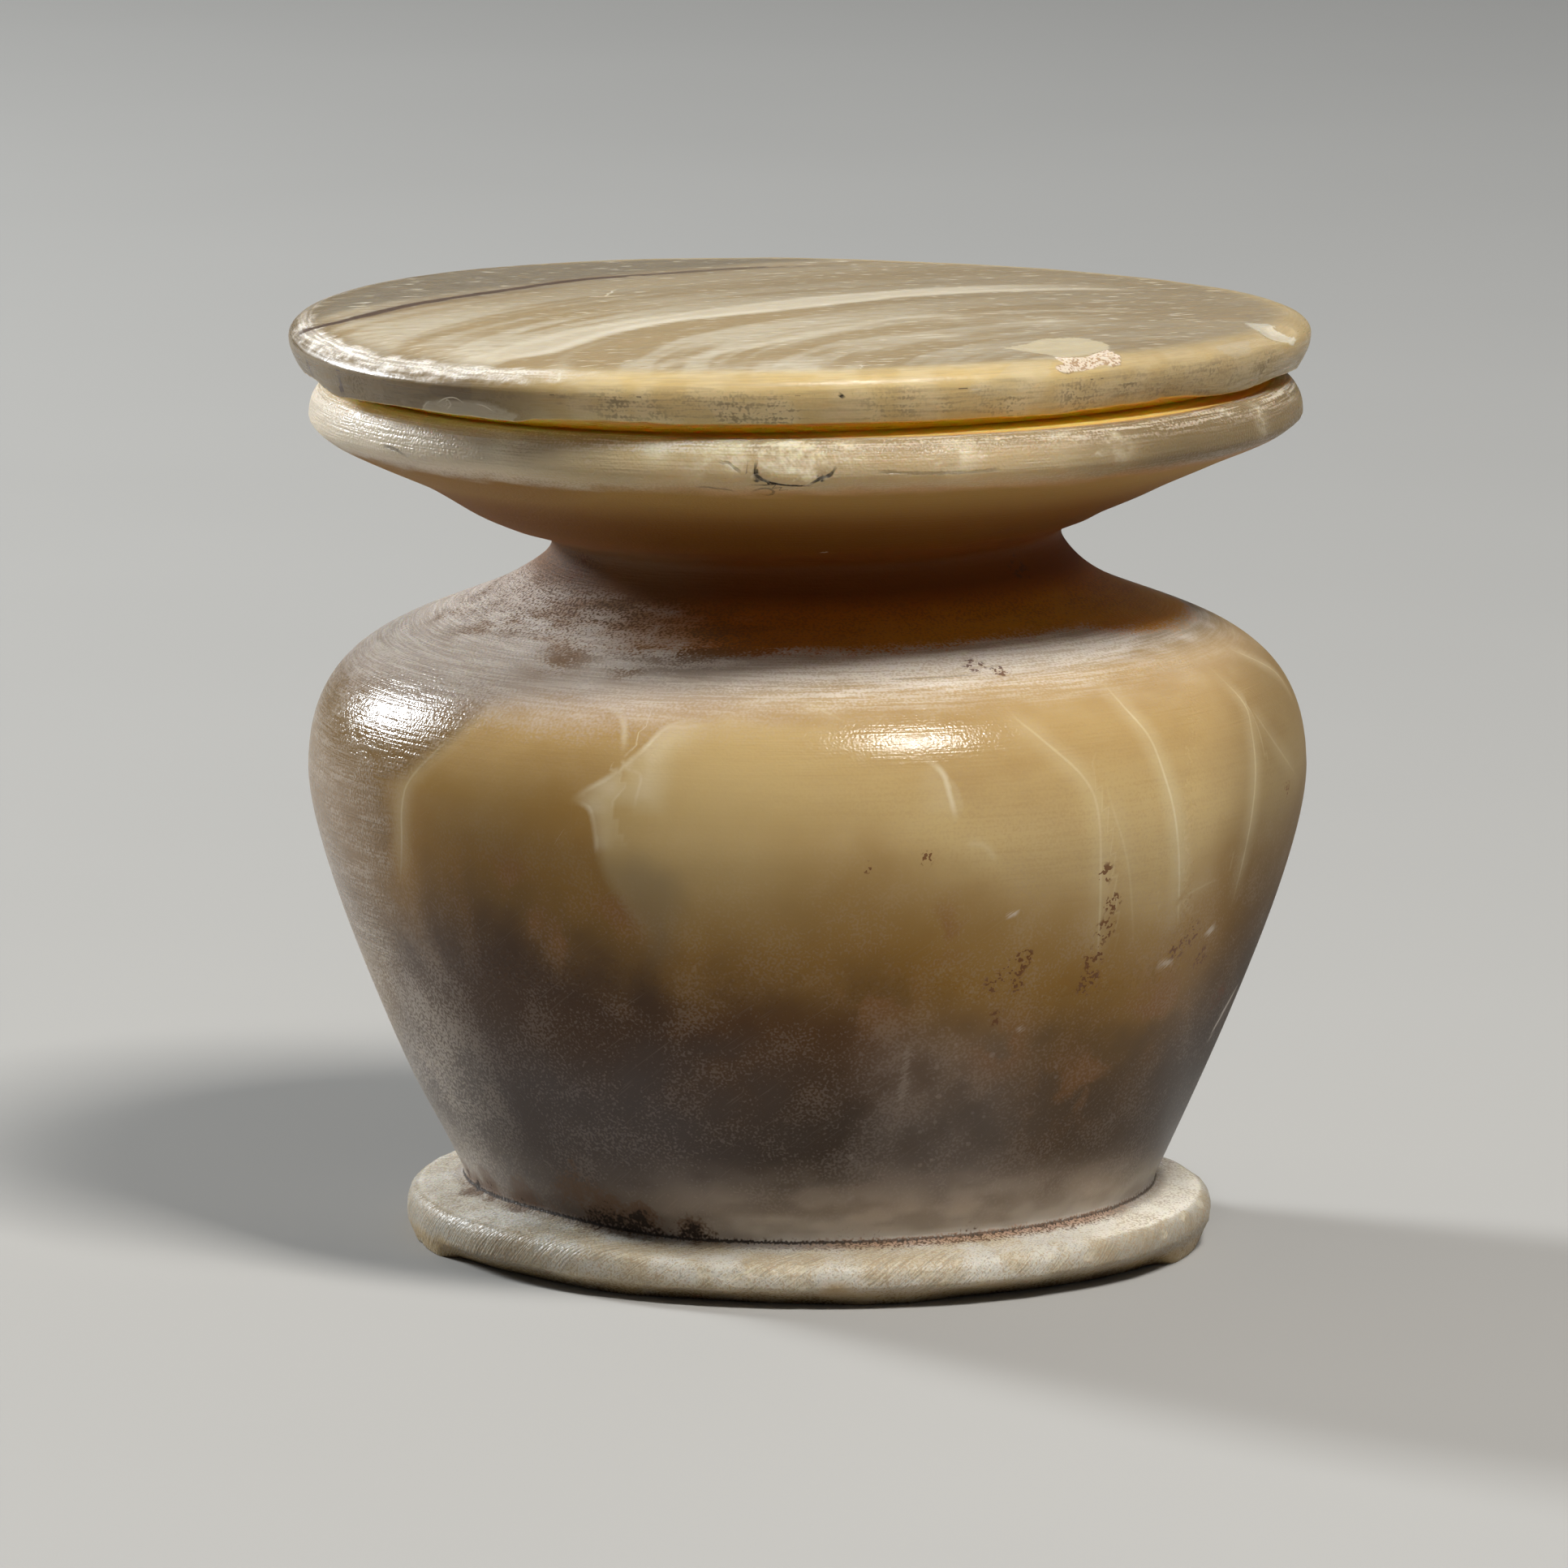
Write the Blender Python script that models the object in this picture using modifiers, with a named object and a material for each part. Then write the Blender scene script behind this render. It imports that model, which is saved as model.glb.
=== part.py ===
"""Small turned stone cosmetic jar with a loose disc lid.

The jar is carved from one block: a foot disc, a body that swells to a high
shoulder, a pinched neck and a broad flared rim, with a bore drilled down from
the mouth. It was turned on an axis that leans a little, and its underside was
then ground flat. The lid is a hand-cut disc with a shallow boss under it. It
lies loose on the rim, pushed a little towards the back.

Units are metres, +Z is up, -Y is the front, and the origin is the centre of
the underside.
"""

import math

import bpy
from mathutils import Vector

# Turning axis
LEAN = math.radians(0.8)
TURN_STEPS = 64
GRINDING_ALLOWANCE = 0.0012

# Foot disc
FOOT_HEIGHT = 0.0027
FOOT_LEDGE = 0.0031
FOOT_BASE_INSET = 0.00055
FOOT_WIDEST_HEIGHT = 0.0010
FOOT_TOP_FALL = 0.0004
FOOT_EDGE_ROUND = 0.0005

# Body
WAIST_RADIUS = 0.0172
BELLY_RADIUS = 0.0250
BELLY_RISE = 0.02125
SHOULDER_RISE = 0.0103
NECK_SPREAD = 0.00105
NECK_WALL = 0.00305
NECK_RISE = 0.0017

# Slopes of the outline from level, and how hard its upper and lower ends pull
# each curve, as shares of that stretch
FLARE_SLOPE = math.radians(26.0)
FLARE_START_SLOPE = math.radians(6.0)
SHOULDER_SLOPE = math.radians(34.5)
WALL_SLOPE = math.radians(64.0)
RIM_ROUND_PULLS = (0.36, 0.40)
FLARE_EDGE_PULLS = (0.11, 0.22)
FLARE_PULLS = (0.62, 0.36)
NECK_PULLS = (0.15, 0.15)
SHOULDER_PULLS = (0.39, 0.50)
WALL_PULLS = (0.19, 0.30)

# Flared rim
RIM_RADIUS = 0.0248
FLARE_RISE = 0.00585
FLARE_BREAK_REACH = 0.535
FLARE_BREAK_RISE = 0.465
RIM_LIP_RISE = 0.00165
RIM_TOP_INSET = 0.0011

# Bore
BORE_RADIUS = 0.0092
FLOOR_THICKNESS = 0.0060
BORE_FLOOR_ROUND = 0.0025
MOUTH_ROUND = 0.0005

# Lid
RESTING_GAP = 0.0003
LID_OVERHANG = 0.00075
LID_THICKNESS = 0.0025
LID_WIDEST_HEIGHT = 0.0017
LID_TOP_INSET = 0.0013
LID_BEVEL_WIDTH = 0.0009
LID_BEVEL_HEIGHT = 0.0003
LID_UNDERSIDE_INSET = 0.0014
LID_SIDE_SLOPE = math.radians(118.0)
LID_ROUND_PULLS = (0.42, 0.34)
LID_SIDE_PULLS = (0.35, 0.30)
LID_TAPER = 0.12
LID_SHIFT_LEFT = 0.0003
LID_SHIFT_BACK = 0.0014
BOSS_CLEARANCE = 0.0006
BOSS_DEPTH = 0.0018
BOSS_ROUND = 0.0005

# Flakes lost from the edges: bearing round the axis from +X, reach along the
# edge, reach across it, and depth
RIM_FLAKE = (math.radians(-91.0), 0.0042, 0.0018, 0.00035)
LID_FLAKES = {
    "lid_front_flake": (math.radians(-54.0), 0.0056, 0.0034, 0.00045),
    "lid_side_flake": (math.radians(-8.0), 0.0050, 0.0028, 0.00045),
}
LID_FLAKE_FACING = math.radians(58.0)
FLAKE_SEAT = 0.45
FLAKE_BULGE = 2.0
FLAKE_SEGMENTS = 16
FLAKE_RINGS = 10

# Sizes that follow from the ones above
NECK_RADIUS = BORE_RADIUS + NECK_WALL
SHOULDER_TOP_RADIUS = NECK_RADIUS + NECK_SPREAD
FOOT_RADIUS = WAIST_RADIUS + FOOT_LEDGE
BELLY_HEIGHT = FOOT_HEIGHT + BELLY_RISE
SHOULDER_TOP_HEIGHT = BELLY_HEIGHT + SHOULDER_RISE
NECK_TOP_HEIGHT = SHOULDER_TOP_HEIGHT + NECK_RISE
RIM_WIDEST_HEIGHT = NECK_TOP_HEIGHT + FLARE_RISE
RIM_TOP_HEIGHT = RIM_WIDEST_HEIGHT + RIM_LIP_RISE
LID_RADIUS = RIM_RADIUS + LID_OVERHANG
BOSS_RADIUS = BORE_RADIUS - math.hypot(LID_SHIFT_LEFT, LID_SHIFT_BACK) - BOSS_CLEARANCE

PARTS = "cosmetic_jar"
CUTTERS = "cutters"
MERGE = 0.00001
OUT = Vector((1.0, 0.0))
DOWN = Vector((0.0, -1.0))


def clear_scene():
    for old in list(bpy.data.objects):
        bpy.data.objects.remove(old, do_unlink=True)


def collection(name):
    group = bpy.data.collections.new(name)
    bpy.context.scene.collection.children.link(group)
    return group


def stone(name, colour, roughness):
    material = bpy.data.materials.new(name)
    material.use_nodes = True
    shader = material.node_tree.nodes["Principled BSDF"]
    shader.inputs["Base Color"].default_value = (*colour, 1.0)
    shader.inputs["Roughness"].default_value = roughness
    shader.inputs["Metallic"].default_value = 0.0
    material.diffuse_color = (*colour, 1.0)
    return material


def heading(angle):
    """Unit direction in the (radius, height) plane, at an angle from level."""
    return Vector((math.cos(angle), math.sin(angle)))


def curve(start, start_way, end, end_way, pulls, pieces):
    """Points after start along a cubic curve, which leaves start along
    start_way and comes into end along end_way."""
    start, end = Vector(start), Vector(end)
    span = (end - start).length
    near = start + start_way * span * pulls[0]
    far = end - end_way * span * pulls[1]
    points = []
    for step in range(1, pieces + 1):
        t = step / pieces
        s = 1.0 - t
        points.append(s**3 * start + 3 * s * s * t * near + 3 * s * t * t * far + t**3 * end)
    return points


def corner(start, vertex, end, pieces):
    """Points after start along a rounded corner, ending at end."""
    start, vertex, end = Vector(start), Vector(vertex), Vector(end)
    points = []
    for step in range(1, pieces + 1):
        t = step / pieces
        s = 1.0 - t
        points.append(s * s * start + 2 * s * t * vertex + t * t * end)
    return points


def bore_outline():
    """From the middle of the bore's floor up to the flat top of the rim."""
    floor_edge = (BORE_RADIUS - BORE_FLOOR_ROUND, FLOOR_THICKNESS)
    wall_foot = (BORE_RADIUS, FLOOR_THICKNESS + BORE_FLOOR_ROUND)
    wall_top = (BORE_RADIUS, RIM_TOP_HEIGHT - MOUTH_ROUND)
    mouth = (BORE_RADIUS + MOUTH_ROUND, RIM_TOP_HEIGHT)
    points = [Vector((0.0, FLOOR_THICKNESS)), Vector(floor_edge)]
    points += corner(floor_edge, (BORE_RADIUS, FLOOR_THICKNESS), wall_foot, 4)
    points.append(Vector(wall_top))
    points += corner(wall_top, (BORE_RADIUS, RIM_TOP_HEIGHT), mouth, 2)
    return points


def rim_outline():
    """Over the rim's rounded lip and in under the flare to the neck."""
    lip_top = (RIM_RADIUS - RIM_TOP_INSET, RIM_TOP_HEIGHT)
    widest = (RIM_RADIUS, RIM_WIDEST_HEIGHT)
    break_point = (
        NECK_RADIUS + (RIM_RADIUS - NECK_RADIUS) * FLARE_BREAK_REACH,
        NECK_TOP_HEIGHT + FLARE_RISE * FLARE_BREAK_RISE,
    )
    neck_top = (NECK_RADIUS, NECK_TOP_HEIGHT)
    neck_foot = (SHOULDER_TOP_RADIUS, SHOULDER_TOP_HEIGHT)
    inward = heading(math.pi + FLARE_SLOPE)
    nearly_level = heading(math.pi + FLARE_START_SLOPE)
    points = [Vector(lip_top)]
    points += curve(lip_top, OUT, widest, DOWN, RIM_ROUND_PULLS, 4)
    points += curve(widest, DOWN, break_point, inward, FLARE_EDGE_PULLS, 5)
    points += curve(break_point, inward, neck_top, nearly_level, FLARE_PULLS, 5)
    points += curve(neck_top, DOWN, neck_foot, DOWN, NECK_PULLS, 3)
    return points


def body_outline():
    """Down over the shoulder and the belly to the crease above the foot."""
    top = (SHOULDER_TOP_RADIUS, SHOULDER_TOP_HEIGHT)
    belly = (BELLY_RADIUS, BELLY_HEIGHT)
    waist = (WAIST_RADIUS, FOOT_HEIGHT)
    points = curve(top, heading(-SHOULDER_SLOPE), belly, DOWN, SHOULDER_PULLS, 9)
    points += curve(belly, DOWN, waist, heading(math.pi + WALL_SLOPE), WALL_PULLS, 9)
    return points


def foot_outline():
    """Out along the foot's top, round its edge and in under it. It ends below
    the ground by the grinding allowance."""
    shelf = Vector((FOOT_RADIUS - FOOT_EDGE_ROUND, FOOT_HEIGHT - FOOT_TOP_FALL))
    widest = Vector((FOOT_RADIUS, FOOT_WIDEST_HEIGHT))
    ground = Vector((FOOT_RADIUS - FOOT_BASE_INSET, 0.0))
    below = ground + (ground - widest) * (GRINDING_ALLOWANCE / FOOT_WIDEST_HEIGHT)
    points = [shelf]
    points += corner(shelf, (FOOT_RADIUS, shelf.y), widest, 3)
    points += [ground, below, Vector((0.0, -GRINDING_ALLOWANCE))]
    return points


def lid_outline():
    """From the top's middle down the edge and in under the lid to the boss.
    Heights are from the flat underside."""
    top_edge = (LID_RADIUS - LID_TOP_INSET, LID_THICKNESS)
    widest = (LID_RADIUS, LID_WIDEST_HEIGHT)
    flat_edge = (LID_RADIUS - LID_UNDERSIDE_INSET, 0.0)
    bevel_top = (flat_edge[0] + LID_BEVEL_WIDTH, LID_BEVEL_HEIGHT)
    boss_side = (BOSS_RADIUS, BOSS_ROUND - BOSS_DEPTH)
    boss_face = (BOSS_RADIUS - BOSS_ROUND, -BOSS_DEPTH)
    points = [Vector((0.0, LID_THICKNESS)), Vector(top_edge)]
    points += curve(top_edge, OUT, widest, DOWN, LID_ROUND_PULLS, 4)
    points += curve(widest, DOWN, bevel_top, heading(-LID_SIDE_SLOPE), LID_SIDE_PULLS, 3)
    points += [Vector(flat_edge), Vector((BOSS_RADIUS, 0.0)), Vector(boss_side)]
    points += corner(boss_side, (BOSS_RADIUS, -BOSS_DEPTH), boss_face, 2)
    points.append(Vector((0.0, -BOSS_DEPTH)))
    return points


def turned(name, outline, group):
    """Object with an outline in its XZ plane and a Screw modifier round Z."""
    mesh = bpy.data.meshes.new(name)
    points = [(point.x, 0.0, point.y) for point in outline]
    mesh.from_pydata(points, [(i, i + 1) for i in range(len(points) - 1)], [])
    piece = bpy.data.objects.new(name, mesh)
    group.objects.link(piece)
    screw = piece.modifiers.new("turning", "SCREW")
    screw.axis = "Z"
    screw.angle = 2.0 * math.pi
    screw.steps = TURN_STEPS
    screw.render_steps = TURN_STEPS
    screw.use_merge_vertices = True
    screw.merge_threshold = MERGE
    screw.use_smooth_shade = True
    return piece


def settled_mesh(piece):
    """Give an object its evaluated mesh in place of its modifiers."""
    evaluated = piece.evaluated_get(bpy.context.evaluated_depsgraph_get())
    mesh = bpy.data.meshes.new_from_object(evaluated)
    mesh.name = piece.name
    piece.modifiers.clear()
    piece.data = mesh
    return mesh


def hand_cut_depth(x):
    """How much of its round depth the lid keeps at a distance x to the right
    of its middle: it is fuller on the left than on the right."""
    return 1.0 - LID_TAPER * x / LID_RADIUS


def cut_by_hand(mesh):
    """Take the lid's outline out of round. The boss stays round."""
    for vertex in mesh.vertices:
        if math.hypot(vertex.co.x, vertex.co.y) > BOSS_RADIUS + MERGE:
            vertex.co.y *= hand_cut_depth(vertex.co.x)


def keep_as_cutter(cutter, group, parent=None):
    for other in list(cutter.users_collection):
        other.objects.unlink(cutter)
    group.objects.link(cutter)
    cutter.parent = parent
    cutter.hide_render = True
    cutter.display_type = "WIRE"
    return cutter


def cut(piece, cutter):
    boolean = piece.modifiers.new(cutter.name, "BOOLEAN")
    boolean.operation = "DIFFERENCE"
    boolean.solver = "EXACT"
    boolean.object = cutter


def ground_cutter():
    """Block under the ground plane, wider than the foot."""
    side = 4.0 * FOOT_RADIUS
    bpy.ops.mesh.primitive_cube_add(size=side, location=(0.0, 0.0, -side / 2.0))
    block = bpy.context.object
    block.name = "grinding_plane"
    return block


def flake_cutter(name, place, bearing, facing, reach, across, depth):
    """Flat ball whose cap is sunk into an edge at place. It faces outwards at
    the bearing round the axis, and is raised from level by facing."""
    bpy.ops.mesh.primitive_uv_sphere_add(
        segments=FLAKE_SEGMENTS, ring_count=FLAKE_RINGS, radius=1.0
    )
    ball = bpy.context.object
    ball.name = name
    bulge = depth * FLAKE_BULGE
    ball.scale = (bulge, reach / 2.0, across / 2.0)
    ball.rotation_euler = (0.0, -facing, bearing)
    level = math.cos(facing)
    outward = Vector((level * math.cos(bearing), level * math.sin(bearing), math.sin(facing)))
    ball.location = Vector(place) + outward * (bulge - depth)
    return ball


def lid_edge(bearing):
    """Point on the lid's worn upper edge, in the lid's own frame."""
    radius = LID_RADIUS - LID_TOP_INSET * FLAKE_SEAT
    x = radius * math.cos(bearing)
    y = radius * math.sin(bearing) * hand_cut_depth(x)
    return (x, y, LID_THICKNESS)


def make_jar(parts, cutters, axis):
    outline = bore_outline() + rim_outline() + body_outline() + foot_outline()
    jar = turned("jar", outline, parts)
    jar.parent = axis
    jar.data.materials.append(stone("banded_stone", (0.55, 0.41, 0.24), 0.38))
    cut(jar, keep_as_cutter(ground_cutter(), cutters))
    bearing, reach, across, depth = RIM_FLAKE
    place = (RIM_RADIUS * math.cos(bearing), RIM_RADIUS * math.sin(bearing), RIM_WIDEST_HEIGHT)
    flake = flake_cutter("rim_flake", place, bearing, 0.0, reach, across, depth)
    cut(jar, keep_as_cutter(flake, cutters, axis))
    return jar


def make_lid(parts, cutters, axis):
    lid = turned("lid", lid_outline(), parts)
    lid.parent = axis
    lid.location = (-LID_SHIFT_LEFT, LID_SHIFT_BACK, RIM_TOP_HEIGHT + RESTING_GAP)
    cut_by_hand(settled_mesh(lid))
    lid.data.materials.append(stone("grained_stone", (0.56, 0.47, 0.32), 0.45))
    for name, (bearing, reach, across, depth) in LID_FLAKES.items():
        flake = flake_cutter(name, lid_edge(bearing), bearing, LID_FLAKE_FACING, reach, across, depth)
        cut(lid, keep_as_cutter(flake, cutters, lid))
    return lid


def main():
    clear_scene()
    parts = collection(PARTS)
    cutters = collection(CUTTERS)
    axis = bpy.data.objects.new("turning_axis", None)
    parts.objects.link(axis)
    axis.rotation_euler = (0.0, -LEAN, 0.0)
    make_jar(parts, cutters, axis)
    make_lid(parts, cutters, axis)


main()
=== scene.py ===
"""Looks of the cosmetic jar: the banded stone of the jar and the grained stone
of its loose lid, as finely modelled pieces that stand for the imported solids.

+Z is up and -Y is the front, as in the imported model. Shapes and materials work
in millimetres, and go into the scene in metres. Places that are named by pixels
are counted in the 1932 x 1932 photograph, from its upper left corner, and are
carried to the surface along the camera's rays.
"""

import math

import bpy
import numpy as np
from mathutils import Matrix, Vector, noise
from mathutils.bvhtree import BVHTree
from mathutils.kdtree import KDTree


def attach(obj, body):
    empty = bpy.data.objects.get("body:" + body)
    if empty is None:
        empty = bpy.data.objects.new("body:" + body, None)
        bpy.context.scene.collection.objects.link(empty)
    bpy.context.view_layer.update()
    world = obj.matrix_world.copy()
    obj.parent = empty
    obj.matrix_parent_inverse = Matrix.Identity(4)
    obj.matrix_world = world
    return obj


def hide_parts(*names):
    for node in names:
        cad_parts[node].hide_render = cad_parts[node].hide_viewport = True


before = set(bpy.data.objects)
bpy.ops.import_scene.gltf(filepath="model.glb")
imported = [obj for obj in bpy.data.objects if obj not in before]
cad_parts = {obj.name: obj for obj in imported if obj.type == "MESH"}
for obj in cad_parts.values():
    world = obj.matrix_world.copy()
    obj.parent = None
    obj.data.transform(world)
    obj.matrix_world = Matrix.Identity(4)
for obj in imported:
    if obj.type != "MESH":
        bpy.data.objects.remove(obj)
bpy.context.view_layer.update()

# A millimetre, in the scene's metres
MM = 0.001

# Camera, fitted to the outline of the jar in the photograph
PICTURE_SIDE = 1932
SENSOR = 36.0
LENS = 297.35
CAMERA_DISTANCE = 649.6
CAMERA_PITCH = math.radians(9.148)
CAMERA_ROLL = math.radians(0.561)
CAMERA_AIM = (-1.498, 0.0, 22.845)

# Sizes of the turned jar, the same as the solids have
LEAN = math.radians(0.8)
FOOT_HEIGHT = 2.7
FOOT_RADIUS = 20.3
FOOT_BASE_INSET = 0.55
FOOT_WIDEST_HEIGHT = 1.0
FOOT_TOP_FALL = 0.4
FOOT_EDGE_ROUND = 0.5
WAIST_RADIUS = 17.2
BELLY_RADIUS = 25.0
BELLY_HEIGHT = 23.95
SHOULDER_TOP_RADIUS = 13.3
SHOULDER_TOP_HEIGHT = 34.25
NECK_RADIUS = 12.25
NECK_TOP_HEIGHT = 35.95
RIM_RADIUS = 24.8
RIM_WIDEST_HEIGHT = 41.8
RIM_TOP_HEIGHT = 43.45
RIM_TOP_INSET = 1.1
FLARE_RISE = 5.85
FLARE_BREAK_REACH = 0.535
FLARE_BREAK_RISE = 0.465
BORE_RADIUS = 9.2
FLOOR_THICKNESS = 6.0
BORE_FLOOR_ROUND = 2.5
MOUTH_ROUND = 0.5

# Slopes of the jar's outline from level, and how hard its upper and lower
# ends pull each curve, as shares of that stretch
FLARE_SLOPE = math.radians(26.0)
FLARE_START_SLOPE = math.radians(6.0)
SHOULDER_SLOPE = math.radians(34.5)
WALL_SLOPE = math.radians(64.0)
RIM_ROUND_PULLS = (0.36, 0.40)
FLARE_EDGE_PULLS = (0.11, 0.22)
FLARE_PULLS = (0.62, 0.36)
NECK_PULLS = (0.15, 0.15)
SHOULDER_PULLS = (0.39, 0.50)
WALL_PULLS = (0.19, 0.30)

# Sizes of the lid
RESTING_GAP = 0.3
LID_RADIUS = 25.55
LID_THICKNESS = 2.5
LID_WIDEST_HEIGHT = 1.7
LID_TOP_INSET = 1.3
LID_BEVEL_WIDTH = 0.9
LID_BEVEL_HEIGHT = 0.3
LID_UNDERSIDE_INSET = 1.4
LID_SIDE_SLOPE = math.radians(118.0)
LID_ROUND_PULLS = (0.42, 0.34)
LID_SIDE_PULLS = (0.35, 0.30)
LID_TAPER = 0.12
LID_SHIFT_LEFT = 0.3
LID_SHIFT_BACK = 1.4
BOSS_RADIUS = 7.17
BOSS_DEPTH = 1.8
BOSS_ROUND = 0.5

# How finely the pieces are divided: columns round each, how much closer they
# lie at the front, and the (bearing, share) round which they lie closer still
FRONT = math.radians(-90.0)
JAR_COLUMNS = 396
JAR_FRONT_SHARE = 1.9
JAR_PEAKS = [(math.radians(-91.0), 1.6)]
LID_COLUMNS = 520
LID_FRONT_SHARE = 1.7
LID_PEAKS = [(math.radians(-54.0), 1.4), (math.radians(-8.0), 1.4)]
PEAK_WIDTH = math.radians(9.0)
FRONT_DENSE = math.radians(70.0)
FRONT_END = math.radians(115.0)
BEARINGS_TRIED = 4000
CURVE_PIECES = 40

# Traced lines: their step and the fading of their ends in pixels, and how far
# along the line from its nearest place a point still lies beside it
TRACE_STEP = 1.5
FADING = 60.0
SHORT_FADING = 12.0
BESIDE = 0.1

# Chips: lumps of their uneven edge and floor, how far past its reach an edge may
# wander, and how uneven it is
CHIP_WOBBLE = 0.55
CHIP_GRAIN = 0.3
CHIP_WANDER = 1.3
JAR_CHIP_ROUGHNESS = 0.22
LID_CHIP_ROUGHNESS = 0.12
DING_ROUGHNESS = 0.25

# How far the hand work departs from the turned surface
BODY_RELIEF = 0.03
LIP_RELIEF = 0.035
FOOT_RELIEF = 0.075
FOOT_SINK = 0.02
CRUST_THICKNESS = 0.06
CRUST_RELIEF = 0.13
LID_EDGE_RELIEF = 0.03
LID_LOW_RELIEF = 0.04
LID_TOP_RELIEF = 0.012

# Light in the stone: how it bends, shines, and how far each colour of it goes
STONE_IOR = 1.54
STONE_SPECULAR = 0.24
STONE_REACHES = (1.0, 0.66, 0.26)
JAR_LIGHT_DEPTH = 3.0
LID_LIGHT_DEPTH = 3.6

OUT = Vector((1.0, 0.0))
DOWN = Vector((0.0, -1.0))


# The photograph's view

def view_axes():
    """The camera's place, and its directions to the right, up and forward."""
    pitch_cos, pitch_sin = math.cos(CAMERA_PITCH), math.sin(CAMERA_PITCH)
    level_right = np.array([1.0, 0.0, 0.0])
    level_up = np.array([0.0, pitch_sin, pitch_cos])
    forward = np.array([0.0, pitch_cos, -pitch_sin])
    right = level_right * math.cos(CAMERA_ROLL) + level_up * math.sin(CAMERA_ROLL)
    up = level_up * math.cos(CAMERA_ROLL) - level_right * math.sin(CAMERA_ROLL)
    place = np.array(CAMERA_AIM) - forward * CAMERA_DISTANCE
    return place, right, up, forward


EYE, EYE_RIGHT, EYE_UP, EYE_FORWARD = view_axes()
FOCAL_PIXELS = LENS / SENSOR * PICTURE_SIDE
MIDDLE = PICTURE_SIDE / 2.0


def pixels_of(points):
    """Where points show in the photograph."""
    away = points - EYE
    depth = away @ EYE_FORWARD
    across = MIDDLE + FOCAL_PIXELS * (away @ EYE_RIGHT) / depth
    down = MIDDLE - FOCAL_PIXELS * (away @ EYE_UP) / depth
    return np.stack([across, down], axis=-1)


def ray_through(pixel):
    way = EYE_FORWARD * FOCAL_PIXELS
    way = way + EYE_RIGHT * (pixel[0] - MIDDLE) - EYE_UP * (pixel[1] - MIDDLE)
    return Vector(way / np.linalg.norm(way))


# Outlines in the (radius, height) plane

def heading(angle):
    return Vector((math.cos(angle), math.sin(angle)))


def curve(start, start_way, end, end_way, pulls):
    """Points after start along a cubic curve, which leaves start along
    start_way and comes into end along end_way."""
    start, end = Vector(start), Vector(end)
    span = (end - start).length
    near = start + start_way * span * pulls[0]
    far = end - end_way * span * pulls[1]
    points = []
    for step in range(1, CURVE_PIECES + 1):
        t = step / CURVE_PIECES
        s = 1.0 - t
        points.append(s**3 * start + 3 * s * s * t * near + 3 * s * t * t * far + t**3 * end)
    return points


def corner(start, vertex, end):
    """Points after start along a rounded corner, ending at end."""
    start, vertex, end = Vector(start), Vector(vertex), Vector(end)
    points = []
    for step in range(1, CURVE_PIECES + 1):
        t = step / CURVE_PIECES
        s = 1.0 - t
        points.append(s * s * start + 2 * s * t * vertex + t * t * end)
    return points


class Outline:
    """Rows of a turned piece, gathered stretch by stretch from its axis."""

    def __init__(self, height):
        self.points = [(0.0, height)]
        self.ends = {}

    def follow(self, name, points, spacing):
        """Go on along points, with rows about as far apart as spacing."""
        line = np.array([self.points[-1]] + [tuple(point) for point in points])
        along = np.concatenate([[0.0], np.cumsum(np.linalg.norm(np.diff(line, axis=0), axis=1))])
        rows = max(1, round(along[-1] / spacing))
        at = np.linspace(0.0, along[-1], rows + 1)[1:]
        first = len(self.points)
        self.points += zip(np.interp(at, along, line[:, 0]), np.interp(at, along, line[:, 1]))
        self.ends[name] = (first, len(self.points) - 1)

    def soften(self, first, last, rounds):
        """Round off the points between two rows."""
        line = np.array(self.points)
        for _ in range(rounds):
            middle = (line[first - 1:last] + line[first + 1:last + 2]) / 2.0
            line[first:last + 1] = (line[first:last + 1] + middle) / 2.0
        self.points = [tuple(point) for point in line]

    def rows(self, name):
        """Rows that a stretch covers, its own end included."""
        first, last = self.ends[name]
        return slice(first, last + 1)


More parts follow.
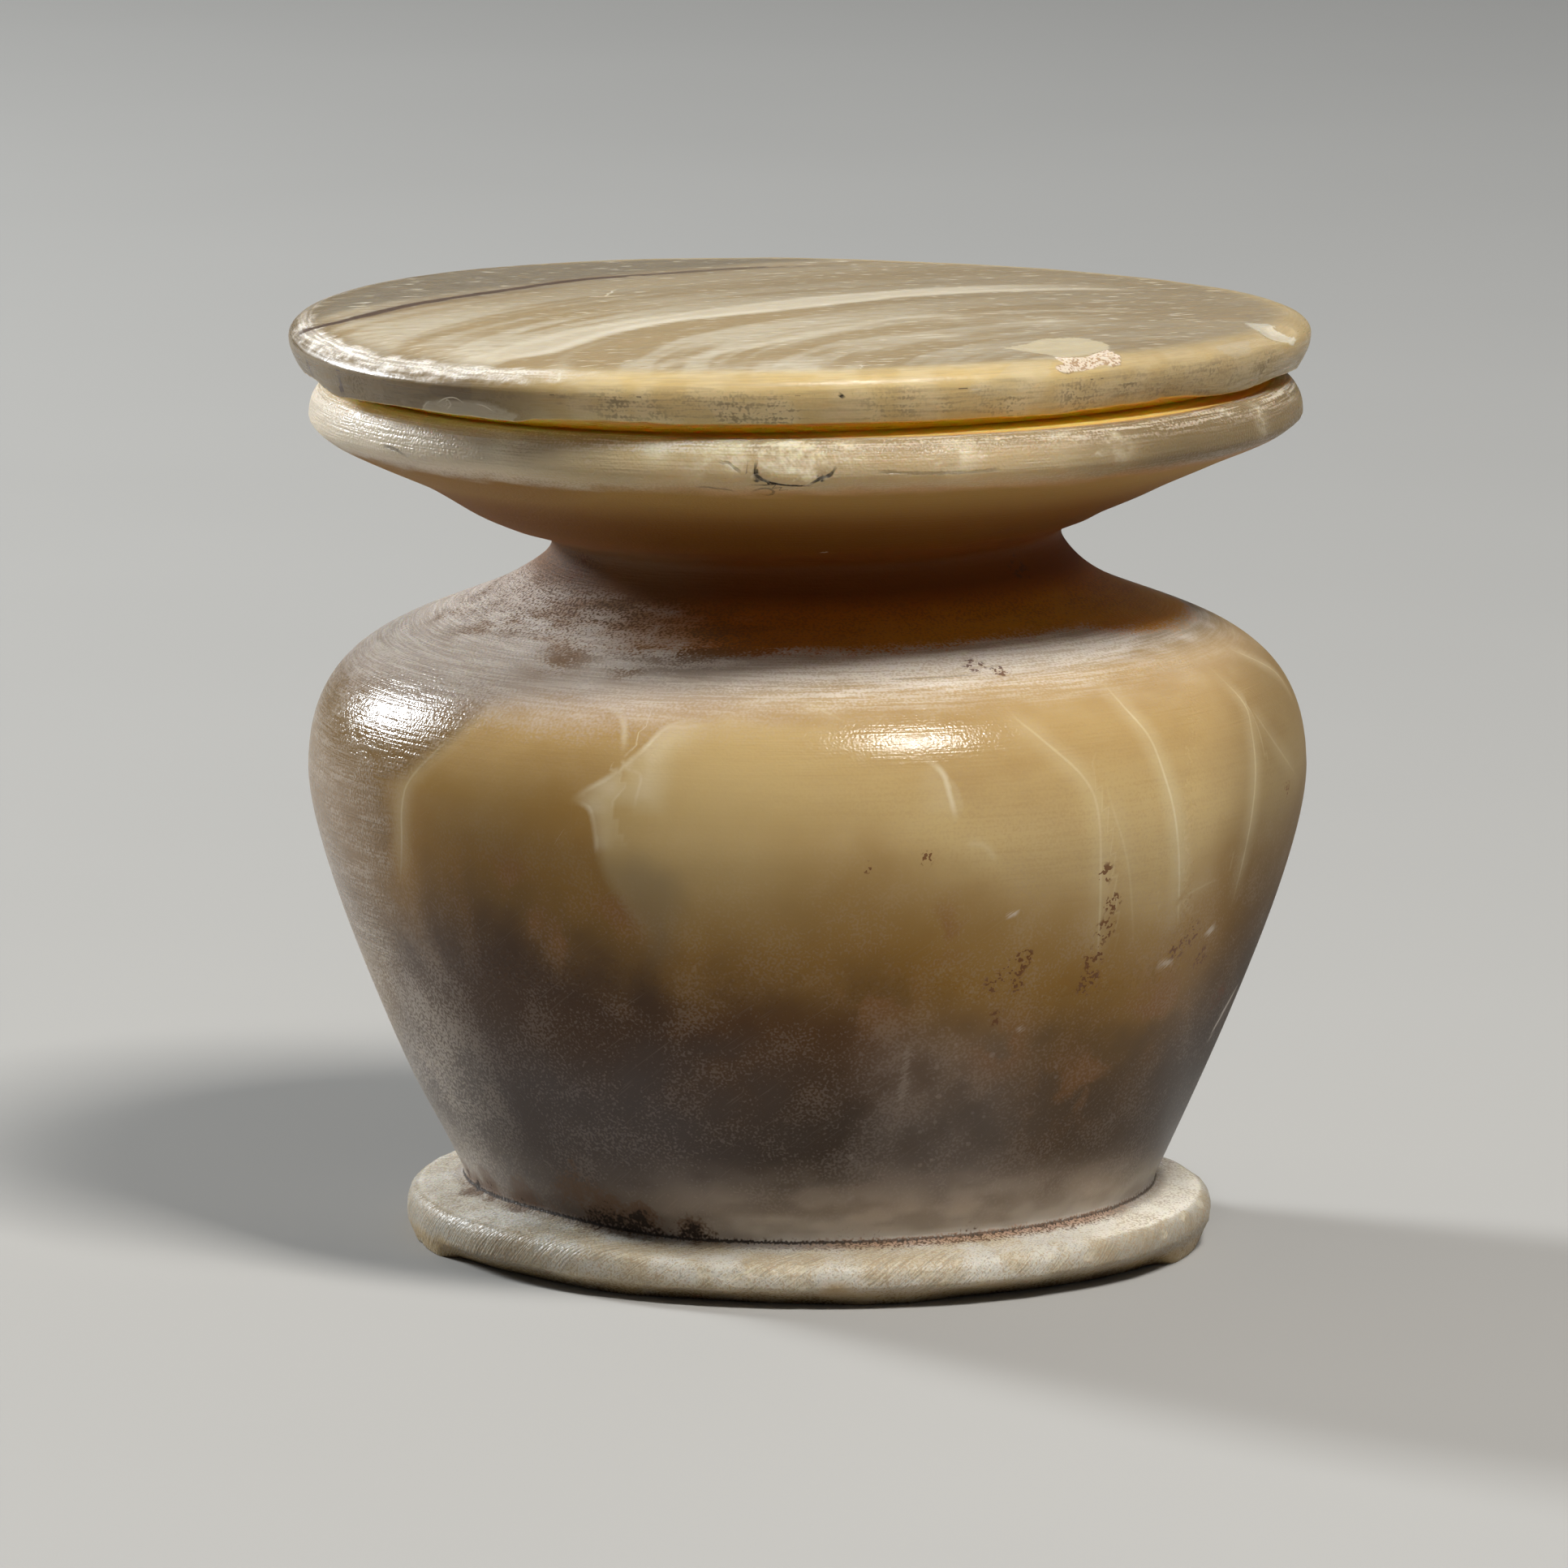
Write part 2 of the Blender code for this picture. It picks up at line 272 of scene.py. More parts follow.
def jar_outline():
    rim_top_inner = (RIM_RADIUS - 5.0, RIM_TOP_HEIGHT)
    lip_top = (RIM_RADIUS - RIM_TOP_INSET, RIM_TOP_HEIGHT)
    widest = (RIM_RADIUS, RIM_WIDEST_HEIGHT)
    break_point = (
        NECK_RADIUS + (RIM_RADIUS - NECK_RADIUS) * FLARE_BREAK_REACH,
        NECK_TOP_HEIGHT + FLARE_RISE * FLARE_BREAK_RISE,
    )
    neck_top = (NECK_RADIUS, NECK_TOP_HEIGHT)
    neck_foot = (SHOULDER_TOP_RADIUS, SHOULDER_TOP_HEIGHT)
    belly = (BELLY_RADIUS, BELLY_HEIGHT)
    waist = (WAIST_RADIUS, FOOT_HEIGHT)
    shelf = (FOOT_RADIUS - FOOT_EDGE_ROUND, FOOT_HEIGHT - FOOT_TOP_FALL)
    foot_widest = (FOOT_RADIUS, FOOT_WIDEST_HEIGHT)
    foot_ground = (FOOT_RADIUS - FOOT_BASE_INSET, 0.0)
    floor_edge = (BORE_RADIUS - BORE_FLOOR_ROUND, FLOOR_THICKNESS)
    wall_foot = (BORE_RADIUS, FLOOR_THICKNESS + BORE_FLOOR_ROUND)
    wall_top = (BORE_RADIUS, RIM_TOP_HEIGHT - MOUTH_ROUND)
    mouth = (BORE_RADIUS + MOUTH_ROUND, RIM_TOP_HEIGHT)
    inward = heading(math.pi + FLARE_SLOPE)
    nearly_level = heading(math.pi + FLARE_START_SLOPE)
    steep = heading(math.pi + WALL_SLOPE)
    line = Outline(FLOOR_THICKNESS)
    line.follow("floor", [floor_edge], 1.7)
    line.follow("floor_round", corner(floor_edge, (BORE_RADIUS, FLOOR_THICKNESS), wall_foot), 1.0)
    line.follow("bore", [wall_top], 3.2)
    line.follow("mouth", corner(wall_top, (BORE_RADIUS, RIM_TOP_HEIGHT), mouth), 0.26)
    line.follow("rim_top_inner", [rim_top_inner], 1.5)
    line.follow("rim_top", [lip_top], 0.36)
    line.follow("lip", curve(lip_top, OUT, widest, DOWN, RIM_ROUND_PULLS), 0.17)
    line.follow("flare_edge", curve(widest, DOWN, break_point, inward, FLARE_EDGE_PULLS), 0.25)
    line.follow("flare", curve(break_point, inward, neck_top, nearly_level, FLARE_PULLS), 0.34)
    line.follow("neck", curve(neck_top, DOWN, neck_foot, DOWN, NECK_PULLS), 0.22)
    line.follow("shoulder", curve(neck_foot, heading(-SHOULDER_SLOPE), belly, DOWN, SHOULDER_PULLS), 0.36)
    line.follow("wall", curve(belly, DOWN, waist, steep, WALL_PULLS), 0.40)
    line.follow("foot_top", [shelf], 0.22)
    line.follow("foot_edge", corner(shelf, (FOOT_RADIUS, shelf[1]), foot_widest), 0.15)
    line.follow("foot_side", [foot_ground], 0.16)
    line.follow("underside", [(1.0, 0.0)], 2.4)
    line.soften(line.ends["neck"][0] - 8, line.ends["neck"][1] + 6, 22)
    line.soften(line.ends["foot_edge"][0] - 6, line.ends["foot_edge"][1] + 2, 12)
    line.soften(line.ends["foot_top"][0] - 3, line.ends["foot_top"][0] + 1, 3)
    return line


def lid_outline():
    """Heights are from the lid's flat underside."""
    top_inner = (LID_RADIUS - 8.0, LID_THICKNESS)
    top_edge = (LID_RADIUS - LID_TOP_INSET, LID_THICKNESS)
    widest = (LID_RADIUS, LID_WIDEST_HEIGHT)
    flat_edge = (LID_RADIUS - LID_UNDERSIDE_INSET, 0.0)
    bevel_top = (flat_edge[0] + LID_BEVEL_WIDTH, LID_BEVEL_HEIGHT)
    boss_side = (BOSS_RADIUS, BOSS_ROUND - BOSS_DEPTH)
    boss_face = (BOSS_RADIUS - BOSS_ROUND, -BOSS_DEPTH)
    line = Outline(LID_THICKNESS)
    line.follow("top_inner", [top_inner], 0.55)
    line.follow("top", [top_edge], 0.24)
    line.follow("edge", curve(top_edge, OUT, widest, DOWN, LID_ROUND_PULLS), 0.11)
    line.follow("side", curve(widest, DOWN, bevel_top, heading(-LID_SIDE_SLOPE), LID_SIDE_PULLS), 0.12)
    line.follow("bevel", [flat_edge], 0.15)
    line.follow("underside", [(BOSS_RADIUS, 0.0)], 1.4)
    line.follow("boss_side", [boss_side], 0.5)
    line.follow("boss_round", corner(boss_side, (BOSS_RADIUS, -BOSS_DEPTH), boss_face), 0.25)
    line.follow("boss_face", [(1.0, -BOSS_DEPTH)], 1.8)
    return line


# Turned meshes

def fade(value, low, high):
    """Rises smoothly from 0 at low to 1 at high; falls where low is above."""
    share = np.clip((value - low) / (high - low), 0.0, 1.0)
    return share * share * (3.0 - 2.0 * share)


def zone(value, start, full, easing, end):
    """1 from full to easing, and 0 before start and after end."""
    return fade(value, start, full) * fade(value, end, easing)


def bearings(count, front_share, peaks):
    """Angles round the axis from the back, by the left and the front, to the
    back again. They lie closer at the front and round each (angle, share)."""
    angles = np.linspace(FRONT - math.pi, FRONT + math.pi, BEARINGS_TRIED)
    turn = np.abs(angles - FRONT)
    density = 1.0 + front_share * fade(turn, FRONT_END, FRONT_DENSE)
    for angle, share in peaks:
        density = density + share * np.exp(-((angles - angle) / PEAK_WIDTH) ** 2)
    total = np.concatenate([[0.0], np.cumsum((density[1:] + density[:-1]) / 2.0)])
    at = np.linspace(0.0, total[-1], count + 1)[:-1]
    return np.interp(at, total, angles)


def leaned(points):
    """Points turned about Y so that the axis leans to the left."""
    lean_cos, lean_sin = math.cos(LEAN), math.sin(LEAN)
    x = points[..., 0] * lean_cos - points[..., 2] * lean_sin
    z = points[..., 0] * lean_sin + points[..., 2] * lean_cos
    return np.stack([x, points[..., 1], z], axis=-1)


class Turned:
    """A closed mesh of revolution, as a grid of rows and columns with a pole
    at each end. Its points are changed in place, and build() makes it."""

    def __init__(self, name, outline, angles):
        self.name = name
        self.outline = outline
        self.angles = angles
        line = np.array(outline.points)
        radius = line[1:, 0][:, None]
        height = np.broadcast_to(line[1:, 1][:, None], (len(line) - 1, len(angles)))
        x = radius * np.cos(angles)
        y = radius * np.sin(angles)
        self.grid = np.stack([x, y, height], axis=-1)
        self.poles = np.array([[0.0, 0.0, line[0, 1]], [0.0, 0.0, line[-1, 1]]])
        steps = np.linalg.norm(np.diff(line, axis=0), axis=1)
        self.along = np.cumsum(steps)[:, None] * np.ones(len(angles))
        self.painted = {}
        self.faces = self.make_faces()

    def rows(self, name):
        """Rows of the grid on a stretch. The grid leaves the first pole out."""
        span = self.outline.rows(name)
        return slice(span.start - 1, span.stop - 1)

    def start_of(self, name):
        """How far along the outline a stretch begins."""
        first = self.rows(name).start
        return self.along[max(first - 1, 0), 0]

    def make_faces(self):
        rows, columns = self.grid.shape[:2]
        first_pole = rows * columns
        faces = []
        for column in range(columns):
            after = (column + 1) % columns
            faces.append((column, after, first_pole))
            for row in range(rows - 1):
                upper = row * columns
                lower = upper + columns
                faces.append((lower + column, lower + after, upper + after, upper + column))
            last = (rows - 1) * columns
            faces.append((first_pole + 1, last + after, last + column))
        return faces

    def points(self):
        return np.concatenate([self.grid.reshape(-1, 3), self.poles])

    def normals(self):
        """Outward directions of the grid's points."""
        down = np.gradient(self.grid, axis=0)
        around = np.roll(self.grid, -1, axis=1) - np.roll(self.grid, 1, axis=1)
        normal = np.cross(down, around)
        return normal / np.maximum(np.linalg.norm(normal, axis=-1, keepdims=True), 1e-12)

    def lumps(self, size, octaves, seed):
        """Soft noise from about -1 to 1, with lumps of a size."""
        shift = Vector((seed, 3.7 * seed, -1.9 * seed))
        flat = self.grid.reshape(-1, 3) / size
        values = [noise.fractal(Vector(place) + shift, 1.0, 2.0, octaves) for place in flat]
        return np.array(values).reshape(self.along.shape)

    def raise_by(self, amount):
        """Move each point of the grid outwards by its own amount."""
        self.grid = self.grid + self.normals() * amount[..., None]

    def paint(self, name, values):
        self.painted[name] = values

    def build(self, material):
        mesh = bpy.data.meshes.new(self.name)
        mesh.from_pydata((self.points() * MM).tolist(), [], self.faces)
        mesh.shade_smooth()
        for name, values in self.painted.items():
            vector = values.ndim == 3
            layer = mesh.attributes.new(name, "FLOAT_VECTOR" if vector else "FLOAT", "POINT")
            flat = values.reshape(-1, 3) if vector else values.reshape(-1)
            ends = np.stack([flat[0], flat[-1]])
            full = np.concatenate([flat, ends]).astype(np.float32)
            layer.data.foreach_set("vector" if vector else "value", full.ravel())
        mesh.materials.append(material)
        piece = bpy.data.objects.new(self.name, mesh)
        bpy.context.scene.collection.objects.link(piece)
        return piece


class Canvas:
    """Finds places on a turned piece by where they show in the photograph."""

    def __init__(self, turned):
        self.turned = turned
        points = turned.points()
        self.tree = BVHTree.FromPolygons(points.tolist(), turned.faces)
        self.shape = turned.along.shape
        self.flat = turned.grid.reshape(-1, 3)
        self.pixels = pixels_of(self.flat)
        facing = np.einsum("ij,ij->i", turned.normals().reshape(-1, 3), EYE - self.flat)
        self.seen = facing > 0.0

    def hit(self, pixel):
        """Point and outward direction where a pixel's ray meets the piece."""
        place, normal, _, _ = self.tree.ray_cast(Vector(EYE), ray_through(pixel))
        return place, normal

    def trace(self, pixels, closed=False):
        """Points on the surface along a smooth line through pixels."""
        corners = [Vector(pixel) for pixel in pixels]
        if closed:
            corners = [corners[-1]] + corners + corners[:2]
        else:
            corners = [corners[0]] + corners + [corners[-1]]
        places = []
        for before, start, end, after in zip(corners, corners[1:], corners[2:], corners[3:]):
            pieces = max(1, int((end - start).length / TRACE_STEP))
            for step in range(pieces + 1):
                t = step / pieces
                through = 0.5 * (
                    2.0 * start
                    + (end - before) * t
                    + (2.0 * before - 5.0 * start + 4.0 * end - after) * t * t
                    + (3.0 * start - before - 3.0 * end + after) * t * t * t
                )
                place, _ = self.hit(through)
                if place is not None:
                    places.append(place)
        return places

    def nearest(self, places):
        """The nearest of places to each point of the grid, and how far it is."""
        tree = KDTree(len(places))
        for index, place in enumerate(places):
            tree.insert(place, index)
        tree.balance()
        found = [tree.find(Vector(point))[1:] for point in self.flat]
        return np.array([index for index, _ in found]), np.array([away for _, away in found])

    def inside(self, pixels):
        """Whether each point of the grid shows within an outline."""
        x, y = self.pixels[:, 0], self.pixels[:, 1]
        within = np.zeros(len(x), bool)
        for (ax, ay), (bx, by) in zip(pixels, pixels[1:] + pixels[:1]):
            crosses = (ay > y) != (by > y)
            slope = (bx - ax) / (by - ay) if by != ay else 0.0
            within ^= crosses & (x < ax + (y - ay) * slope)
        return (within & self.seen).reshape(self.shape)

    def area(self, pixels):
        """Distance to an outline, negative within it."""
        away = self.nearest(self.trace(pixels, closed=True))[1].reshape(self.shape)
        return np.where(self.inside(pixels), -away, away)

    def near(self, spots):
        """1 at each (pixel, reach) spot, falling to 0 past its reach."""
        total = np.zeros(self.shape)
        for pixel, reach in spots:
            place, _ = self.hit(pixel)
            if place is not None:
                away = np.linalg.norm(self.turned.grid - np.array(place), axis=-1)
                total = np.maximum(total, np.exp(-((away / reach) ** 2)))
        return total

    def lines(self, lines, reach, fading):
        """Distance to the nearest of several (pixels, strength) lines, below 0
        on one side of it, and the strength there. That ends at reach from the
        line, and fades out over about the last fading pixels of its ends."""
        places, ways, strengths = [], [], []
        for pixels, strength in lines:
            traced = self.trace(pixels)
            last = len(traced) - 1
            faded = max(1.0, min(fading / TRACE_STEP, 0.25 * last))
            for index, place in enumerate(traced):
                places.append(place)
                ways.append((traced[min(index + 2, last)] - traced[max(index - 2, 0)]).normalized())
                strengths.append(strength * min(1.0, index / faded, (last - index) / faded))
        nearest, away = self.nearest(places)
        offset = self.flat - np.array(places)[nearest]
        way = np.array(ways)[nearest]
        across = np.cross(self.turned.normals().reshape(-1, 3), way)
        side = np.einsum("ij,ij->i", across, offset)
        run = np.einsum("ij,ij->i", way, offset)
        away = np.where(np.abs(run) < BESIDE, np.abs(side), away)
        strength = np.array(strengths)[nearest] * fade(away, reach, 0.75 * reach)
        away = np.where(side < 0.0, -away, away)
        return away.reshape(self.shape), strength.reshape(self.shape)

    def chip(self, place, outward, level, sizes, depth, roughness, seed):
        """Take a shallow shell off the surface, as a flat ball would cut it.
        sizes are its reach along level and across it. Returns how much each
        point sank."""
        outward = Vector(outward).normalized()
        level = Vector(level)
        level = (level - outward * level.dot(outward)).normalized()
        across = outward.cross(level)
        bulge = 2.0 * depth
        middle = np.array(Vector(place) + outward * (bulge - depth))
        away = self.turned.grid - middle
        along = away @ np.array(level) / (sizes[0] / 2.0)
        over = away @ np.array(across) / (sizes[1] / 2.0)
        rise = away @ np.array(outward)
        spread = np.sqrt(along**2 + over**2)
        near = (spread < CHIP_WANDER) & (np.abs(rise + bulge) < 4.0 * bulge)
        sunk = np.zeros(spread.shape)
        for row, column in zip(*np.nonzero(near)):
            point = Vector(self.turned.grid[row, column])
            wobble = noise.fractal(point / CHIP_WOBBLE + Vector((seed, 0.0, seed)), 1.0, 2.0, 2)
            reach = spread[row, column] * (1.0 + roughness * wobble)
            if reach >= 1.0:
                continue
            grain = noise.fractal(point / CHIP_GRAIN + Vector((0.0, seed, 0.0)), 1.0, 2.0, 2)
            floor = -bulge * math.sqrt(1.0 - reach * reach) + 0.3 * roughness * depth * grain
            sunk[row, column] = max(0.0, rise[row, column] - floor)
        self.turned.grid = self.turned.grid - sunk[..., None] * np.array(outward)
        return sunk


def follow_edge(turned, row, traced, above, below, lift, reach):
    """Move the front of a row until it shows along a line traced in the
    photograph: upwards if lift is true, or else back from the camera, by
    reach at most. Rows above and below it follow less and less."""
    ring = turned.grid[row]
    shown = pixels_of(ring)
    line = np.array(traced, float)
    target = np.interp(shown[:, 0], line[:, 0], line[:, 1])
    depth = (ring - EYE) @ EYE_FORWARD
    share = math.cos(CAMERA_PITCH) if lift else math.sin(CAMERA_PITCH)
    moved = (shown[:, 1] - target) * depth / (FOCAL_PIXELS * share)
    front = fade(ring[:, 1].mean() - ring[:, 1], 0.5, 4.0)
    moved = np.clip(moved, -reach, reach) * front
    axis = 2 if lift else 1
    for other in range(row - above, row + below + 1):
        span = above if other < row else below
        turned.grid[other, :, axis] += moved * fade(abs(other - row), span + 1.0, 0.0)


# Material nodes

def screen(red, green, blue):
    """Scene colour of a colour as a screen shows it, 0 to 255 a channel."""
    shares = [channel / 255.0 for channel in (red, green, blue)]
    values = [s / 12.92 if s <= 0.04045 else ((s + 0.055) / 1.055) ** 2.4 for s in shares]
    return (*values, 1.0)


class Value:
    """A number, colour or place that varies over a surface, as a node gives it."""

    def __init__(self, graph, socket):
        self.graph = graph
        self.socket = socket

    def __add__(self, other):
        return self.graph.maths("ADD", self, other)

    def __sub__(self, other):
        return self.graph.maths("SUBTRACT", self, other)

    def __mul__(self, other):
        return self.graph.maths("MULTIPLY", self, other)

    def __abs__(self):
        return self.graph.maths("ABSOLUTE", self)


class Graph:
    """The nodes of one material. Its lengths are in millimetres."""

    def __init__(self, name):
        self.material = bpy.data.materials.new(name)
        self.material.use_nodes = True
        self.nodes = self.material.node_tree.nodes
        self.shader = self.nodes["Principled BSDF"]
        metres = self.node("TexCoord", "Object", {})
        self.place = self.node("VectorMath", 0, {0: metres, "Scale": 1.0 / MM}, operation="SCALE")

    def put(self, socket, value):
        if isinstance(value, Value):
            self.material.node_tree.links.new(value.socket, socket)
        else:
            socket.default_value = value

    def node(self, kind, output, inputs, **settings):
        """An output of a new node, whose inputs are set or linked."""
        node = self.nodes.new("ShaderNode" + kind)
        for name, setting in settings.items():
            setattr(node, name, setting)
        for name, value in inputs.items():
            self.put(node.inputs[name], value)
        return Value(self, node.outputs[output])

    def maths(self, operation, first, second=0.0):
        return self.node("Math", 0, {0: first, 1: second}, operation=operation)

    def painted(self, name, output="Fac"):
        return self.node("Attribute", output, {}, attribute_name=name)

    def from_line(self, name):
        """Distance to painted lines."""
        return abs(self.painted(name))

    def part(self, vector, axis):
        return self.node("SeparateXYZ", axis, {0: vector})

    def sized(self, vector, sizes, turn, shift):
        """Coordinates, turned about Z and shifted, in which the given sizes measure one."""
        inputs = {"Vector": vector, "Location": shift, "Rotation": (0.0, 0.0, turn), "Scale": sizes}
        return self.node("Mapping", 0, inputs, vector_type="TEXTURE")

    def noise(self, vector, sizes, detail, roughness, turn=0.0, shift=(0.0, 0.0, 0.0)):
        """Noise whose lumps have the given sizes."""
        vector = self.sized(vector, sizes, turn, shift)
        inputs = {"Vector": vector, "Scale": 1.0, "Detail": detail, "Roughness": roughness}
        return self.node("TexNoise", "Fac", inputs)

    def lumps(self, size, detail, roughness, shift):
        """Noise with round lumps of one size."""
        return self.noise(self.place, (size,) * 3, detail, roughness, shift=(shift,) * 3)

    def specks(self, size, reach, shift):
        """Round specks in cells of a size, each of its own reach up to reach
        as a share of the cell."""
        vector = self.sized(self.place, (size,) * 3, 0.0, (shift, 0.0, shift))
        away = self.node("TexVoronoi", "Distance", {"Vector": vector, "Scale": 1.0})
        cell = Value(self, away.socket.node.outputs["Color"])
        return ramp(self.part(cell, 0) * reach - away, 0.0, 0.3 * reach)

    def finish(self, inputs):
        """Give the shader its inputs, and the material back."""
        for name, value in inputs.items():
            self.put(self.shader.inputs[name], value)
        return self.material


def ramp(value, low, high, to_low=0.0, to_high=1.0):
    """Smooth step from to_low at low to to_high at high."""
    if low > high:
        low, high, to_low, to_high = high, low, to_high, to_low
    inputs = {"Value": value, "From Min": low, "From Max": high, "To Min": to_low, "To Max": to_high}
    return value.graph.node("MapRange", "Result", inputs, interpolation_type="SMOOTHSTEP")


def window(value, start, full, easing, end):
    """1 from full to easing, and 0 before start and after end."""
    return ramp(value, start, full) * ramp(value, end, easing)


def mix(share, first, second):
    """Colour that goes from first to second as share rises."""
    return share.graph.node("Mix", 2, {0: share, 6: first, 7: second}, data_type="RGBA")


def blend(share, first, second):
    """Number that goes from first to second as share rises."""
    return share.graph.node("Mix", 0, {0: share, 2: first, 3: second}, data_type="FLOAT")


def most(first, *others):
    for other in others:
        first = first.graph.maths("MAXIMUM", first, other)
    return first


class Paint:
    """A colour that takes one coat after another."""

    def __init__(self, colour):
        self.colour = colour

    def coat(self, share, colour):
        self.colour = mix(share, self.colour, colour)


def stone_shader(g, stone, roughness, height, waxy, depth):
    """Stone that height raises, and that lets light in about depth deep where
    it is waxy."""
    return g.finish({
        "Base Color": stone.colour,
        "Roughness": roughness,
        "Normal": g.node("Bump", 0, {"Strength": 1.0, "Distance": MM, "Height": height}),
        "IOR": STONE_IOR,
        "Specular IOR Level": STONE_SPECULAR,
        "Subsurface Weight": waxy,
        "Subsurface Radius": STONE_REACHES,
        "Subsurface Scale": depth * MM,
    })


# Features of the jar, by the pixels where they show

JAR_VEINS = [
    (((493, 1090), (495, 1040), (495, 996), (504, 962), (539, 924), (589, 881), (622, 862)), 0.6),
    (((1236, 866), (1253, 886), (1285, 912), (1336, 959), (1354, 1007), (1356, 1100), (1352, 1190)), 0.65),
    (((1362, 960), (1368, 985), (1390, 1065), (1397, 1165)), 0.35),
    (((1348, 830), (1384, 870), (1416, 908), (1435, 956), (1448, 1007), (1453, 1071), (1451, 1145)), 1.0),
    (((1486, 818), (1531, 864), (1542, 899), (1547, 950), (1542, 1007), (1529, 1071), (1516, 1120)), 0.65),
    (((1512, 798), (1569, 826), (1594, 864)), 0.5),
    (((1540, 870), (1598, 956)), 0.3),
    (((871, 882), (914, 868), (979, 862), (1021, 879), (1050, 895)), 0.45),
    (((1455, 1107), (1480, 1093), (1502, 1082)), 0.3),
]
JAR_CLOUD = [
    (821, 895), (790, 925), (754, 954), (725, 971), (703, 985), (725, 993), (732, 1025),
    (734, 1050), (736, 1064), (754, 1107), (782, 1154), (830, 1215), (900, 1262), (980, 1278),
    (1060, 1250), (1120, 1190), (1164, 1111), (1193, 1086), (1236, 1071), (1232, 1054),
    (1212, 1032), (1182, 1026), (1187, 993), (1179, 968), (1154, 943), (1130, 925),
    (1080, 905), (1020, 892), (960, 884), (900, 881), (850, 885),
]
CLOUD_RIMS = [
    (((880, 892), (843, 896), (821, 897), (790, 927), (754, 956), (725, 973), (705, 985)), 1.0),
    (((708, 986), (727, 996), (734, 1025), (736, 1054)), 0.8),
    (((764, 948), (789, 954), (786, 975), (780, 1000)), 0.7),
    (((744, 860), (768, 889), (768, 928)), 0.6),
    (((1140, 935), (1161, 952), (1172, 985), (1178, 1012)), 0.75),
    (((1190, 1040), (1212, 1042), (1228, 1062)), 0.45),
]
CLOUD_SHADE = [
    (736, 1066), (760, 1054), (789, 1046), (812, 1058), (840, 1075), (852, 1120),
    (838, 1180), (806, 1190), (775, 1150), (752, 1110),
]
RUST_PATCHES = [
    ((590, 1095), 1.6), ((628, 1075), 1.0), ((698, 1160), 1.3), ((760, 1125), 1.2),
    ((655, 1130), 1.0), ((1235, 1290), 1.6), ((1330, 1330), 2.4), ((1080, 1230), 2.0),
    ((1420, 1240), 2.4), ((1160, 1150), 1.4),
]
RIM_CHIP_OUTLINE = [
    (931, 566), (930, 584), (937, 592), (950, 597), (973, 599), (997, 599), (1010, 591),
    (1024, 583), (1031, 575), (1042, 562), (1046, 547), (1000, 543), (950, 543), (936, 552),
]
RIM_CRACKS = [
    (((932, 568), (930, 584), (937, 591), (946, 594), (955, 596), (969, 598), (1000, 599)), 1.0),
    (((995, 598), (1005, 593), (1012, 589), (1021, 587), (1031, 575)), 1.0),
    (((884, 566), (890, 570), (897, 570), (905, 577), (914, 583)), 0.55),
    (((857, 601), (870, 600), (882, 602), (895, 603), (909, 606)), 0.45),
    (((924, 607), (934, 603), (946, 602), (953, 605), (950, 610), (938, 609)), 0.5),
    (((1080, 581), (1130, 583), (1190, 582), (1232, 578)), 0.30),
    (((470, 549), (485, 553), (501, 562)), 0.5),
]
CRACK_WEDGES = [((934, 590), 0.32), ((945, 595), 0.24), ((1012, 589), 0.30), ((931, 581), 0.18)]
RIM_PALE_PATCHES = [
    ((865, 568), 0.9), ((905, 560), 1.0), ((888, 548), 0.9), ((1045, 560), 0.9),
    ((960, 552), 1.0), ((812, 553), 0.7), ((1180, 560), 1.0), ((1376, 545), 0.8),
    ((1556, 512), 0.8), ((1310, 548), 0.8), ((620, 545), 0.9),
]
BROWN_SPECKS = [
    ((1362, 1077), 0.5), ((1371, 1112), 0.5), ((1362, 1145), 0.6), ((1348, 1180), 0.6),
    ((1262, 1180), 0.5), ((1248, 1196), 0.6), ((1224, 1212), 0.5), ((1252, 1214), 0.4),
    ((1228, 1254), 0.4), ((1467, 1152), 0.7), ((1450, 1170), 0.6), ((1142, 1058), 0.35),
    ((1068, 1069), 0.3), ((715, 700), 0.9), ((1238, 655), 0.8), ((1255, 700), 0.7),
    ((1500, 1230), 0.8), ((1586, 970), 0.4), ((1340, 1210), 0.7), ((1200, 820), 0.6),
    ((1232, 826), 0.5), ((1480, 1180), 0.6),
]
PITTED = [((1190, 1290), 3.2), ((1170, 1380), 3.4), ((1265, 1340), 3.4), ((1100, 1430), 2.6)]
WHITE_SCUFFS = [
    (((1526, 1212), (1508, 1245), (1488, 1283)), 1.0),
    (((1485, 1152), (1497, 1142)), 0.8),
    (((1425, 1192), (1436, 1186), (1446, 1187)), 0.6),
    (((1241, 1130), (1254, 1124)), 0.9),
    (((1252, 1270), (1262, 1266)), 0.7),
    # The last, faint streak stands partly for fine scratches and partly for a painted highlight on them
    (((1120, 1282), (1114, 1330), (1108, 1376)), 0.18),
]
SHOULDER_DIRT = [
    ((640, 760), 2.4), ((695, 812), 1.9), ((592, 774), 1.6), ((760, 740), 3.0),
    ((776, 824), 1.4), ((556, 756), 1.2), ((850, 800), 3.0), ((690, 700), 1.6),
]
CREASE_DIRT = [
    ((700, 1455), 2.2), ((745, 1478), 2.4), ((790, 1497), 1.8), ((850, 1510), 1.2),
    ((640, 1462), 1.4), ((600, 1450), 1.2), ((705, 1430), 1.0), ((1060, 1460), 0.7),
    ((590, 1464), 1.1), ((640, 1490), 1.1), ((575, 1440), 1.0),
]
FOOT_LOWER_EDGE = [
    (512, 1517), (543, 1539), (575, 1554), (619, 1567), (682, 1581), (726, 1590), (780, 1597),
    (860, 1602), (947, 1607), (1060, 1609), (1120, 1607), (1180, 1600), (1212, 1597), (1265, 1591),
    (1306, 1583), (1351, 1575), (1401, 1566), (1439, 1552), (1464, 1536), (1483, 1523),
]
FOOT_EDGE_REACH = 2.2

